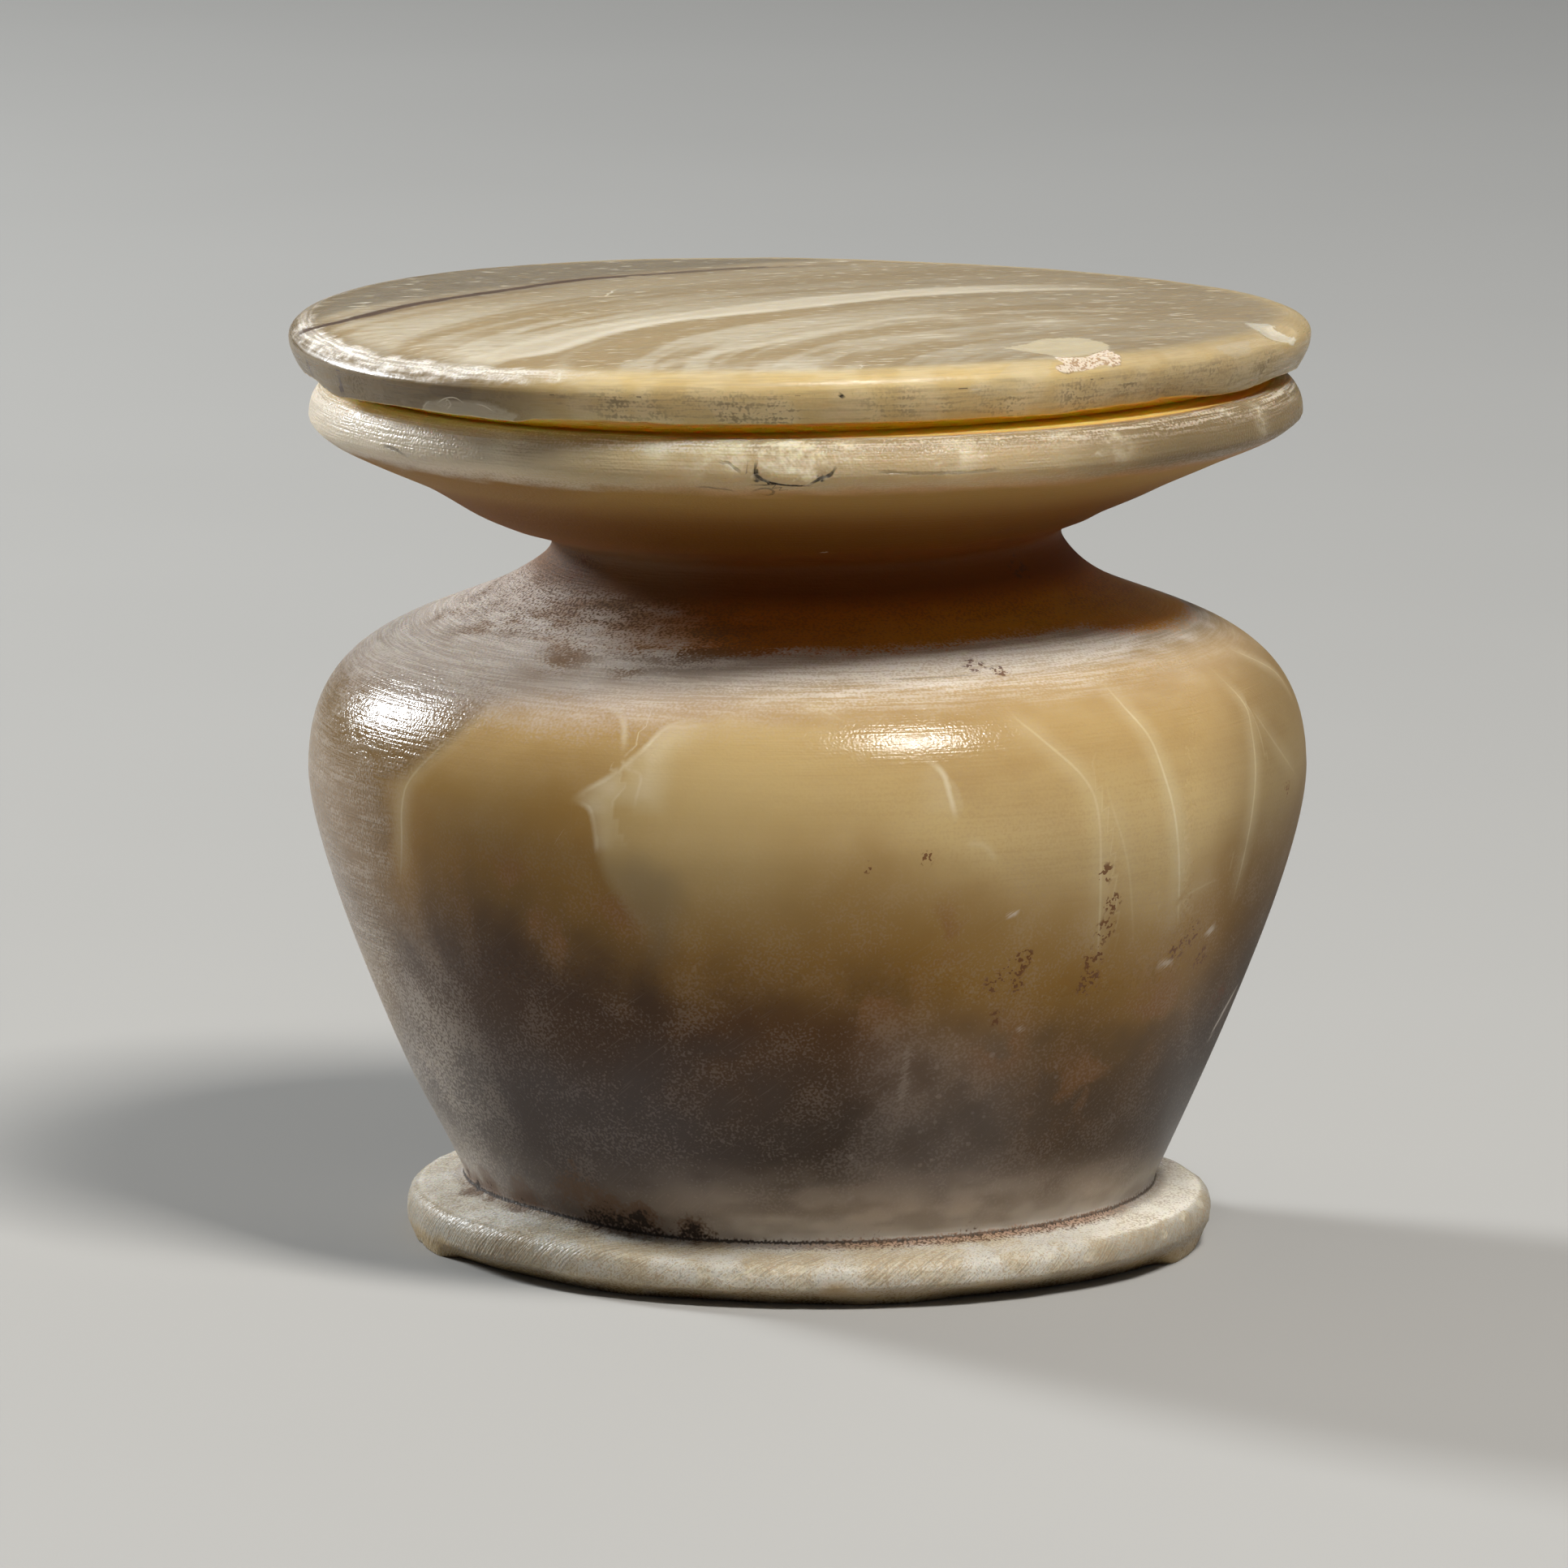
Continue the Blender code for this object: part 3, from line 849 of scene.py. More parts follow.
# Chips: pixel, reach along the edge, reach across it, depth
JAR_CHIPS = [
    ((975, 566), 4.6, 2.4, 0.15),
    ((1012, 586), 1.2, 0.7, 0.14),
    ((940, 588), 1.2, 0.7, 0.14),
    ((903, 566), 1.7, 1.5, 0.07),
    ((640, 552), 0.8, 0.6, 0.05),
    ((800, 552), 0.7, 0.8, 0.05),
    ((1330, 536), 0.9, 0.5, 0.05),
]
EDGE_DINGS = 46

# How the jar departs from its turned form
FLARE_SHIFT_LEFT = 0.42
NECK_TILT = 0.016
FOOT_RAISED_LEFT = 0.52
TOOL_MARK_SLANT = math.radians(50.0)


def settle_outline(grid):
    """The flare hangs to the left, the neck end is out of level, and the foot
    is thicker on the left."""
    x, y, z = grid[..., 0], grid[..., 1], grid[..., 2]
    outer = fade(np.hypot(x, y), BORE_RADIUS + 1.0, NECK_RADIUS - 0.6)
    flare = zone(z, 35.8, 37.4, 40.2, 41.6)
    neck = zone(z, 33.4, 35.2, 36.8, 38.6)
    foot = zone(z, 0.0, 2.0, 4.0, 9.0) * fade(x, -5.0, -15.0)
    moved_x = x - FLARE_SHIFT_LEFT * flare * outer
    moved_z = z + NECK_TILT * x * neck * outer + FOOT_RAISED_LEFT * foot * outer
    return np.stack([moved_x, y, moved_z], axis=-1)


def stand_on_ground(turned):
    """End the foot's side at the ground, and lay the underside in it."""
    side = turned.rows("foot_side")
    widest = turned.grid[side.start - 1].copy()
    lowest = turned.grid[side.stop - 1].copy()
    reach = widest[:, 2] / (widest[:, 2] - lowest[:, 2])
    ground = widest + (lowest - widest) * reach[:, None]
    ground[:, 2] = 0.0
    turned.grid[side.stop - 1] = ground
    follow_edge(
        turned, side.stop - 1, FOOT_LOWER_EDGE, above=0, below=0, lift=False, reach=FOOT_EDGE_REACH
    )
    ground = turned.grid[side.stop - 1].copy()
    count = side.stop - side.start
    for step, row in enumerate(range(side.start, side.stop), start=1):
        turned.grid[row] = widest + (ground - widest) * step / count
    line = np.array(turned.outline.points)[1:, 0]
    for row in range(turned.rows("underside").start, len(line)):
        turned.grid[row] = ground * line[row] / line[side.stop - 1]
    turned.poles[1] = (0.0, 0.0, 0.0)


def dings(canvas, edge_rows, sizes, depth, seed):
    """Small chips at random places along a ring of the grid."""
    turned = canvas.turned
    draw = np.random.default_rng(seed)
    normals = turned.normals()
    sunk = np.zeros(turned.along.shape)
    for _ in range(EDGE_DINGS):
        row = int(draw.choice(edge_rows))
        angle = draw.uniform(FRONT - math.pi, FRONT + math.pi)
        column = int(np.argmin(np.abs(turned.angles - angle)))
        reach = draw.uniform(*sizes)
        level = (-math.sin(angle), math.cos(angle), 0.0)
        across = reach * draw.uniform(0.5, 0.9)
        cut = canvas.chip(
            turned.grid[row, column], normals[row, column], level, (reach, across),
            depth * draw.uniform(0.35, 1.0), DING_ROUGHNESS, draw.uniform(0.0, 50.0),
        )
        sunk = np.maximum(sunk, cut)
    return sunk


def paint_features(canvas, lines, areas, spots):
    """Paint named (lines, reach, fading), areas and spots."""
    for name, feature in lines.items():
        away, strength = canvas.lines(*feature)
        canvas.turned.paint(name, away)
        canvas.turned.paint(name + "_strength", strength)
    for name, pixels in areas.items():
        canvas.turned.paint(name, canvas.area(pixels))
    for name, places in spots.items():
        canvas.turned.paint(name, canvas.near(places))


def flakes(canvas, chips, level, roughness, seed):
    """Take out chips, along level or else round the piece."""
    sunk = np.zeros(canvas.turned.along.shape)
    for number, (pixel, reach, across, depth) in enumerate(chips):
        place, outward = canvas.hit(pixel)
        way = level or (-outward.y, outward.x, 0.0)
        cut = canvas.chip(place, outward, way, (reach, across), depth, roughness, seed + number)
        sunk = np.maximum(sunk, cut)
    return sunk


def paint_turn(turned, name, radius, angles):
    """Coordinates round the axis and along the outline."""
    shape = turned.along.shape
    x = np.broadcast_to(np.cos(angles) * radius, shape)
    y = np.broadcast_to(np.sin(angles) * radius, shape)
    turned.paint(name, np.stack([x, y, turned.along], axis=-1))


def smeared(turned, sizes, octaves, seed):
    """Soft noise from about -1 to 1 that is stretched round the piece. sizes
    are the lumps' reach round it and along its outline."""
    level = turned.grid[..., :2] / sizes[0]
    rows = turned.along / sizes[1]
    values = np.zeros(rows.shape)
    for row, column in np.ndindex(rows.shape):
        x, y = level[row, column]
        place = Vector((x + seed, y - seed, rows[row, column]))
        values[row, column] = noise.fractal(place, 1.0, 2.0, octaves)
    return values


def make_jar():
    angles = bearings(JAR_COLUMNS, JAR_FRONT_SHARE, JAR_PEAKS)
    jar = Turned("carved_jar", jar_outline(), angles)
    paint_turn(jar, "turn", BELLY_RADIUS, angles)
    slanted = angles + jar.along * math.tan(TOOL_MARK_SLANT) / FOOT_RADIUS
    paint_turn(jar, "slant", FOOT_RADIUS, slanted)
    jar.grid = leaned(jar.grid)
    jar.poles = leaned(jar.poles)
    stand_on_ground(jar)
    jar.grid = settle_outline(jar.grid)

    # Uneven hand work: broad on the whole outside, closer at the two edges
    along = jar.along
    start = jar.start_of
    outside = zone(along, start("lip"), start("lip") + 1.0, start("foot_side"), start("underside"))
    foot = fade(along, start("foot_top") + 0.6, start("foot_edge"))
    lip = fade(along, start("flare_edge") + 2.0, start("flare_edge"))
    jar.raise_by(outside * BODY_RELIEF * jar.lumps(9.0, octaves=2, seed=2.0))
    jar.raise_by(outside * lip * LIP_RELIEF * jar.lumps(2.4, octaves=2, seed=5.0))
    jar.raise_by(outside * foot * (FOOT_RELIEF * jar.lumps(2.6, octaves=3, seed=9.0) - FOOT_SINK))

    canvas = Canvas(jar)
    sunk = flakes(canvas, JAR_CHIPS, (1.0, 0.0, 0.0), JAR_CHIP_ROUGHNESS, seed=3.0)
    lip_rows = list(range(jar.rows("lip").start + 2, jar.rows("lip").stop - 3))
    foot_rows = list(range(jar.rows("foot_edge").start, jar.rows("foot_side").stop))
    sunk = np.maximum(sunk, dings(canvas, lip_rows, sizes=(0.5, 1.1), depth=0.06, seed=11))
    sunk = np.maximum(sunk, dings(canvas, foot_rows, sizes=(0.6, 1.6), depth=0.10, seed=12))
    jar.paint("broken", sunk)

    # Dirt and crust packed in the crease above the foot
    crease = along - start("foot_top")
    jar.paint("crease", crease)
    packed = zone(crease, -0.25, 0.1, 0.3, 1.0)
    packed = packed * (0.35 + 0.65 * fade(jar.grid[..., 0], -2.0, 6.0))
    jar.raise_by(packed * (CRUST_THICKNESS + CRUST_RELIEF * jar.lumps(0.45, octaves=3, seed=21.0)))
    jar.grid[..., 2] = np.maximum(jar.grid[..., 2], 0.0)

    jar.paint("grain_of_dirt", packed)
    jar.paint("broad", jar.lumps(8.0, octaves=2, seed=41.0))
    jar.paint("middling", jar.lumps(2.4, octaves=3, seed=42.0))
    jar.paint("smears", smeared(jar, (2.6, 0.9), octaves=3, seed=43.0))
    paint_features(
        canvas,
        lines={
            "vein": (JAR_VEINS, 1.5, FADING),
            "cloud_rim": (CLOUD_RIMS, 2.8, FADING),
            "crack": (RIM_CRACKS, 0.6, SHORT_FADING),
            "scuff": (WHITE_SCUFFS, 1.0, FADING),
        },
        areas={"cloud": JAR_CLOUD, "cloud_shade": CLOUD_SHADE, "chip": RIM_CHIP_OUTLINE},
        spots={
            "wedge": CRACK_WEDGES,
            "rust": RUST_PATCHES,
            "rim_patch": RIM_PALE_PATCHES,
            "specks": BROWN_SPECKS,
            "pits": PITTED,
            "shoulder_dirt": SHOULDER_DIRT,
            "crease_dirt": CREASE_DIRT,
        },
    )

    piece = jar.build(jar_material(jar))
    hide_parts("jar")
    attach(piece, "root")


# Colours of the jar's stone and of dirt, as a screen shows them in full light; some of them are painted
# shade, painted light or a painted glow

HONEY = screen(181, 154, 107)
HONEY_PALE = screen(191, 165, 115)
HONEY_DEEP = screen(165, 134, 83)
AMBER_MID = screen(144, 106, 42)
AMBER_LOW = screen(90, 56, 8)
AMBER_RIGHT = screen(98, 70, 34)
GREY_BROWN = screen(68, 40, 6)
GREY_LOW = screen(76, 65, 60)
BROWN_LOW = screen(64, 50, 38)
FOOT_HAZE = screen(188, 170, 151)
AMBER_SHADE = screen(192, 110, 12)
AMBER_GLOW = screen(222, 152, 20)
GREY_BLUE = screen(104, 99, 88)
LIMB_PAINTED_SHADE = screen(52, 34, 14)
RUST = screen(138, 92, 46)
CLOUD_PALE = screen(198, 174, 122)
CLOUD_WHITE = screen(220, 208, 178)
VEIN_WHITE = screen(226, 214, 178)
SILVER_PINK = screen(190, 174, 162)
SILVER = screen(222, 211, 196)
WORN_WHITE_AND_PAINTED_LIGHT = screen(248, 240, 228)
ROSE_BROWN = screen(114, 88, 54)
SMEAR_BROWN = screen(136, 102, 66)
RIM_STONE = screen(182, 164, 129)
RIM_PAINTED_SHADE = screen(114, 98, 70)
RIM_CLEAR = screen(188, 168, 130)
FLARE_STONE = screen(150, 116, 60)
FLARE_DEEP_AND_PAINTED_SHADE = screen(108, 65, 10)
NECK_STONE_AND_PAINTED_SHADE = screen(126, 66, 12)
RIM_PAINTED_GLOW = screen(250, 233, 124)
LID_PAINTED_GLOW = screen(248, 236, 130)
OUTER_PAINTED_GLOW = screen(212, 172, 92)
BONE = screen(197, 193, 182)
BONE_WARM = screen(186, 175, 152)
BONE_GREY = screen(130, 121, 104)
BONE_PAINTED_LIGHT = screen(236, 230, 216)
BONE_GOLD = screen(168, 141, 94)
BONE_BROWN = screen(146, 122, 92)
CRYSTAL = screen(222, 214, 190)
EARTH = screen(96, 68, 44)
EARTH_DARK = screen(38, 29, 22)
RED_EARTH = screen(104, 60, 28)
CRUST = screen(178, 142, 116)


def stone_and_shade_below(stone, x, z, broad, middling, smears):
    """Honey stone that turns to amber and grey brown towards the foot, darker there partly as painted
    shade.
    """
    wobble = middling * 0.9 + broad * 1.6
    level = z + wobble + ramp(x, -5, -13, 0, -2.8)
    level += ramp(x, 3, 11, 0, 4.6)
    level += ramp(x, 16, 21, 0, -3.4)
    stone.coat(ramp(level, 27, 22.5), HONEY_DEEP)
    stone.coat(ramp(level, 24.5, 18.5), AMBER_MID)
    across = x + (middling + broad) * 2.5
    amber = mix(ramp(across, 3, 9), AMBER_LOW, AMBER_RIGHT)
    low = mix(ramp(across, -10, -3), GREY_BROWN, amber)
    stone.coat(ramp(level, 20, 13.5), low)
    low = mix(ramp(across, -9, 1), GREY_LOW, BROWN_LOW)
    low = mix(ramp(across, 6, 12, 0, 0.45), low, AMBER_RIGHT)
    stone.coat(ramp(z + wobble, 14.5, 8.5, 0, 0.9), low)
    haze = ramp(z + wobble * 0.5, 7.6, 3.2) * ramp(smears, -0.6, 0.4, 0.6, 1)
    stone.coat(haze * ramp(x, -10, -1, 0.2, 0.95), FOOT_HAZE)
    dusty = ramp(z, 4.8, 3, 0, 0.6) * ramp(x, -8, 0)
    stone.coat(dusty * ramp(smears, -0.6, 0.4, 0.5, 1), BONE)
    wavy = x + middling * 0.9
    rosy = window(wavy, 0.5, 5, 8, 13) * window(z, 3, 6, 12, 17)
    stone.coat(rosy * ramp(middling, -0.5, 0.5, 0.14, 0.2), SILVER_PINK)
    # Painted shade: the right limb darkened towards the foot
    right_limb_shade = ramp(x + ramp(z, 18, 6, 0, 4.5), 18.5, 23)
    stone.coat(right_limb_shade * ramp(z, 22, 15, 0.5, 0.8), LIMB_PAINTED_SHADE)


def jar_material(jar):
    g = Graph("banded_stone")
    start = jar.start_of
    turn = g.painted("turn", "Vector")
    slant = g.painted("slant", "Vector")
    along = g.part(turn, 2)
    x, y, z = [g.part(g.place, axis) for axis in range(3)]
    broad = g.painted("broad")
    middling = g.painted("middling")
    smears = g.painted("smears")
    fine = g.lumps(0.36, detail=1, roughness=0.65, shift=5)
    streaks = g.noise(turn, (4.5, 4.5, 0.15), detail=1.5, roughness=0.7)
    strokes = g.noise(slant, (0.14, 0.14, 1.6), detail=1, roughness=0.5)
    grit = g.lumps(0.13, detail=0, roughness=0.5, shift=11)
    gritty = grit - 0.5

    # Honey stone above, and its deeper colours below
    stone = Paint(mix(ramp(broad, -0.35, 0.35), HONEY, HONEY_PALE))
    stone.coat(ramp(middling, -0.5, 0.6, 0, 0.14), HONEY_DEEP)
    stone.coat(ramp(streaks + gritty, 0.5, 0.75, 0, 0.24), HONEY_DEEP)
    stone.coat(ramp(streaks + gritty, 0.5, 0.25, 0, 0.16), CLOUD_PALE)
    stone.coat(ramp(z, 25, 28.5, 0, 0.55), HONEY_DEEP)
    inner = ramp(x, -8, -11.5) * ramp(z, 31, 26, 0.35, 0.8)
    inner *= ramp(g.painted("cloud"), -0.1, 0.6)
    stone.coat(inner, HONEY_DEEP)
    banded = ramp(smears, -0.5, 0.7, 0, 0.18) * ramp(z, 16, 20)
    stone.coat(banded, CLOUD_PALE)
    stone_and_shade_below(stone, x, z, broad, middling, smears)
    rust = g.painted("rust") * ramp(middling + fine * 0.5, 0.1, 0.55, 0, 0.55)
    stone.coat(rust, RUST)
    scratched = most(ramp(grit + middling * 0.25, 0.5, 0.8), ramp(strokes, 0.62, 0.78, 0, 0.6))
    stone.coat(scratched * ramp(z, 26, 15, 0.04, 0.15), SILVER_PINK)

    # The pale zone at the front, with a jagged edge that is whitish at the top
    jagged = middling * 0.35
    cloud = g.painted("cloud") + jagged
    left_side = ramp(x, 4, -4, 0.3, 1)
    within = ramp(cloud, 0.15, -0.8) * left_side * ramp(z, 17, 24)
    stone.coat(within * 0.55, CLOUD_PALE)
    rim_away = g.from_line("cloud_rim") + fine * 0.1
    inside_edge = ramp(g.painted("cloud"), 0.1, -0.1)
    wash = inside_edge * ramp(rim_away, 2.2, 0.1, 0, 0.65)
    wash *= ramp(x, -4, -8, 0.35, 1)
    rim_line = most(ramp(rim_away, 0.34, 0.05), wash)
    rim_line *= g.painted("cloud_rim_strength")
    stone.coat(rim_line * ramp(middling, -0.5, 0.3, 0.4, 0.85), CLOUD_WHITE)
    shade = ramp(g.painted("cloud_shade") + jagged, 0.5, -1.6, 0, 0.3)
    stone.coat(shade, GREY_BLUE)

    # Thin pale veins
    wavy = g.from_line("vein") + fine * 0.05
    vein = most(ramp(wavy, 0.2, 0.03, 0, 0.62), ramp(wavy, 1.2, 0, 0, 0.27))
    vein *= g.painted("vein_strength")
    stone.coat(vein * ramp(middling, -0.6, 0.3, 0.6, 1), VEIN_WHITE)

    # The left limb, scratched, and silvery partly as a painted sheen
    over = most(z - 25, 0)
    limb = ramp(x + over * -1.13 + jagged, -19.9, -21.5)
    stone.coat(limb * 0.75, ROSE_BROWN)
    rubbed = ramp(streaks * 0.7 + (grit * 0.6 + strokes * 0.2), 0.66, 0.88)
    stone.coat(limb * rubbed * ramp(smears, -0.5, 0.5, 0.03, 0.24), SILVER)
    left_limb = ramp(x + ramp(z, 18, 6, 0, -3), -16.5, -20.8)
    scratches_and_sheen_low = left_limb * ramp(z, 19.5, 12)
    scratches_and_sheen_low *= ramp(grit + middling * 0.15, 0.35, 0.65, 0.14, 0.44)
    stone.coat(scratches_and_sheen_low, SILVER)

    # Shoulder: silvery pink, brown smears, a worn band below that is partly brightened as painted light,
    # and a painted shade of the lid's shadow
    height_up = z + (smears * 0.38 + x * -0.035)
    on_shoulder = ramp(height_up + gritty * 1.6, 28.4, 31)
    silver_side = ramp(x + smears * 2.5, 2, -12, 0.14, 0.92)
    stone.coat(on_shoulder * silver_side, SILVER_PINK)
    brushed_off = ramp(streaks * 0.9 + grit * 0.4, 0.52, 0.84, 0.15, 1)
    worn = ramp(height_up, 29.2, 31.2) * brushed_off
    worn *= ramp(x, 12, 18, 1, 0.35)
    stone.coat(worn * ramp(height_up, 33.6, 32, 0.35, 0.9), SILVER)
    # Painted light: just below the shadow's edge the worn band is whitened further than its wear alone
    wear_and_painted_light = window(height_up, 30.5, 31.7, 32.6, 33.4) * ramp(x, -14, -5, 0.3, 1)
    stone.coat(wear_and_painted_light * ramp(streaks + gritty, 0.35, 0.6, 0.5, 0.95), WORN_WHITE_AND_PAINTED_LIGHT)
    # Painted shade: the lid's shadow on the front of the shoulder is coloured deep amber, with a painted
    # orange glow along its lower edge
    edge = z + x * -0.035 + (smears * 0.18 + gritty * 0.5)
    edge += ramp(x, 11, 18.5, 0, 0.95)
    shade_side = x + (smears * 4 + gritty * 7)
    shaded = ramp(edge, 32, 32.35) * ramp(shade_side, -14.5, -5)
    shaded *= ramp(y, 10, 0, 0.3, 1)
    glow = ramp(edge, 33.8, 32.3) * ramp(x, -4, 8, 0.25, 1)
    shade_colour = mix(ramp(x, -3, -10, 0, 0.6), AMBER_SHADE, SMEAR_BROWN)
    stone.coat(shaded * 0.96, mix(glow, shade_colour, AMBER_GLOW))
    blotched = ramp(smears + gritty * 1.6, -0.3, 0.25)
    dirty = g.painted("shoulder_dirt") * (blotched * ramp(height_up, 29.5, 30.5))
    stone.coat(dirty * 0.85, SMEAR_BROWN)
    grains = ramp(height_up, 31, 33.4) * ramp(grit + smears * 0.12, 0.52, 0.62)
    stone.coat(grains * ramp(x, -4, -11, 0.3, 0.85), EARTH)

    # Under the flare and down to the neck, darker and redder towards the neck, partly the stone's own
    # colour and partly painted shade
    flare_start = start("flare_edge") + 0.75
    shoulder_start = start("shoulder")
    ragged_along = along + (smears * 0.4 + middling * 0.25)
    under = ramp(ragged_along, flare_start - 0.3, flare_start + 1.6)
    under *= ramp(along, shoulder_start + 1.4, shoulder_start - 0.4)
    depth = ramp(along, flare_start + 0.2, start("flare") + 2)
    depth = most(depth, ramp(x, -8, -14, 0, 0.5))
    flare = Paint(mix(depth, FLARE_STONE, FLARE_DEEP_AND_PAINTED_SHADE))
    neck_depth_and_shade = ramp(along, start("flare") + 2.6, start("neck"))
    flare.coat(neck_depth_and_shade, NECK_STONE_AND_PAINTED_SHADE)
    rosy = ramp(x, -3, -9, 0, 0.6) * neck_depth_and_shade
    flare.coat(rosy, SMEAR_BROWN)
    neck_dirt = ramp(x, -9.5, -12) * ramp(along, shoulder_start - 2.6, shoulder_start - 1)
    flare.coat(neck_dirt * ramp(grit, 0.38, 0.56, 0.35, 0.95), EARTH)
    stone.coat(under, flare.colour)

    # The rim's worn lip, its crystalline patches and the chip at the front
    lip_start = start("lip")
    lip = ramp(along, lip_start - 1.2, lip_start)
    lip *= ramp(ragged_along, flare_start + 1.6, flare_start - 0.3)
    clear = ramp(middling + streaks * 0.3, -0.3, 0.8)
    rim = Paint(mix(clear, RIM_STONE, RIM_CLEAR))
    rim.coat(ramp(x, -10, -19, 0, 0.5), SILVER)
    # Painted shade: the lip darkened at the right, and on its upper edge at the front
    rim.coat(ramp(x, 9, 18, 0, 0.9), RIM_PAINTED_SHADE)
    arris = window(along, lip_start - 0.6, lip_start - 0.2, lip_start + 0.5, lip_start + 1.6)
    rim.coat(arris * ramp(x, -8, -2, 0, 0.65), RIM_PAINTED_SHADE)
    scratchy = ramp(streaks * 0.9 + grit * 0.45, 0.62, 0.86)
    scratchy *= ramp(x, 1, -9, 0.55, 1)
    rim.coat(arris * scratchy, SILVER)
    stone.coat(lip, rim.colour)
    patches = g.painted("rim_patch") * ramp(middling + fine * 0.8, 0.15, 0.75, 0.1, 0.7)
    stone.coat(patches, CRYSTAL)
    chip = ramp(g.painted("chip") + jagged * 0.25, 0.04, -0.1)
    facets = ramp(middling * 0.7 + fine, 0.35, 0.8, 0.1, 0.75)
    stone.coat(chip * facets, CRYSTAL)
    crack_away = g.from_line("crack") + (fine - 0.5) * 0.1
    crack = ramp(crack_away, 0.105, 0.04) * g.painted("crack_strength")
    crack = most(crack, ramp(g.painted("wedge"), 0.4, 0.75) * ramp(fine, 0.4, 0.5))
    stone.coat(crack, EARTH_DARK)

    # The rim's flat top in the lid's shadow, coloured saturated amber as a painted glow of light coming
    # through the stone, and the bore
    top = ramp(along, lip_start - 0.35, lip_start - 0.65)
    inner_top = ramp(along, lip_start - 0.8, lip_start - 2)
    stone.coat(top, mix(inner_top, OUTER_PAINTED_GLOW, RIM_PAINTED_GLOW))
    hidden = ramp(along, lip_start - 3, lip_start - 5)
    stone.coat(hidden, FLARE_STONE)

    # The foot, of paler and drier stone, with the sides of its ends darkened as painted shade and the top
    # at its ends lightened as painted light
    foot_start = start("foot_top")
    foot = ramp(along, foot_start - 0.05, foot_start + 0.15)
    bone = Paint(mix(ramp(middling, -0.4, 0.4), BONE, BONE_WARM))
    tooled = (strokes - 0.5) * ramp(middling, -0.5, 0.5, 0.2, 0.85)
    tooled += grit * 0.5
    bone.coat(ramp(tooled, 0.27, 0.43, 0, 0.5), CRYSTAL)
    bone.coat(ramp(tooled, 0.23, 0.09, 0, 0.5), BONE_GREY)
    foot_side = ramp(along, start("foot_edge") - 0.2, start("foot_edge") + 0.5)
    # Painted shade on the left end's side, painted light on the top of both ends, painted shade on the
    # right end's side
    bone.coat(foot_side * ramp(x, -11, -17, 0, 0.65), BONE_GREY)
    ends = most(ramp(x, -12, -16, 0, 0.6), ramp(x, 12, 17, 0, 0.85))
    bone.coat(ends * ramp(foot_side, 0.45, 0), BONE_PAINTED_LIGHT)
    bone.coat(foot_side * ramp(x, 11, 17, 0, 0.6), BONE_GREY)
    mottled = grit + (middling * 0.15 + fine * 0.3)
    bone.coat(ramp(mottled, 0.64, 0.84, 0, 0.55), BONE_BROWN)
    bone.coat(ramp(z + middling * 0.6, 1.3, 0.4, 0, 0.75), BONE_GOLD)
    soiled = ramp(z, 1.1, 0.1) * ramp(middling * 0.4 + grit, 0.5, 0.75)
    bone.coat(soiled * 0.6, EARTH)
    stone.coat(foot, bone.colour)

    # Dirt in the crease, black at the left front, a reddish crust on the right, and a darker line right
    # along the crease
    crease = g.painted("crease")
    granular = gritty * 1.2
    below = ramp(crease + granular, 0.9, 0.35)
    packed = below * ramp(crease + granular * 0.4, -0.22, 0)
    crust_side = window(x, -3, 4, 14, 17)
    crust = mix(crust_side, EARTH, mix(ramp(grit, 0.4, 0.54), EARTH, CRUST))
    stone.coat(packed * blend(crust_side, 0.5, 0.85), crust)
    off_crease = abs(crease + 0.2) * -0.25
    soil = g.painted("crease_dirt") * 1.1 + (gritty * 0.7 + middling * 0.45)
    soil = soil + fine * 0.9 + (off_crease - 0.45)
    stone.coat(ramp(soil, 0.28, 0.8, 0, 0.75), EARTH)
    soil += ramp(x, -15, -10.5, -0.45, 0)
    black = ramp(soil + off_crease * 1.4, 0.42, 0.85)
    stone.coat(black * 0.92, EARTH_DARK)
    line = ramp(abs(crease + granular * 0.15), 0.13, 0.04)
    stone.coat(line * ramp(x, -2, 6, 0.9, 0.6), EARTH_DARK)

    # Specks, pits and scuffs
    blots = g.painted("specks") * ramp(fine + gritty * 0.5, 0.52, 0.61)
    stone.coat(ramp(blots, 0.15, 0.5, 0, 0.85), RED_EARTH)
    pits = g.specks(0.85, reach=0.26, shift=2) * ramp(g.painted("pits"), 0.1, 0.6)
    stone.coat(pits * 0.18, SILVER_PINK)
    scuff_edge = g.from_line("scuff") + (strokes - 0.5) * 0.9
    scuff = ramp(scuff_edge, 0.26, 0) * g.painted("scuff_strength")
    stone.coat(scuff * 0.75, SILVER)
    broken = ramp(g.painted("broken"), 0.004, 0.03)
    stone.coat(broken * ramp(fine, 0.35, 0.65, 0.1, 0.4), CRYSTAL)

    # Gloss: polished body, matt foot and crust
    roughness = ramp(fine + broad * 0.2, 0.3, 0.7, 0.15, 0.25)
    roughness = blend(ramp(z, 20, 12), roughness, 0.36)
    roughness = blend(ramp(x, 17.5, 21), roughness, 0.6)
    roughness = blend(ramp(z, 30.5, 32), roughness, 0.62)
    roughness = blend(under, roughness, 0.72)
    roughness = blend(lip, roughness, ramp(streaks + gritty, 0.35, 0.65, 0.3, 0.58))
    roughness = blend(foot, roughness, ramp(strokes + gritty, 0.35, 0.65, 0.36, 0.62))
    roughness = blend(most(packed, soiled, black), roughness, 0.85)

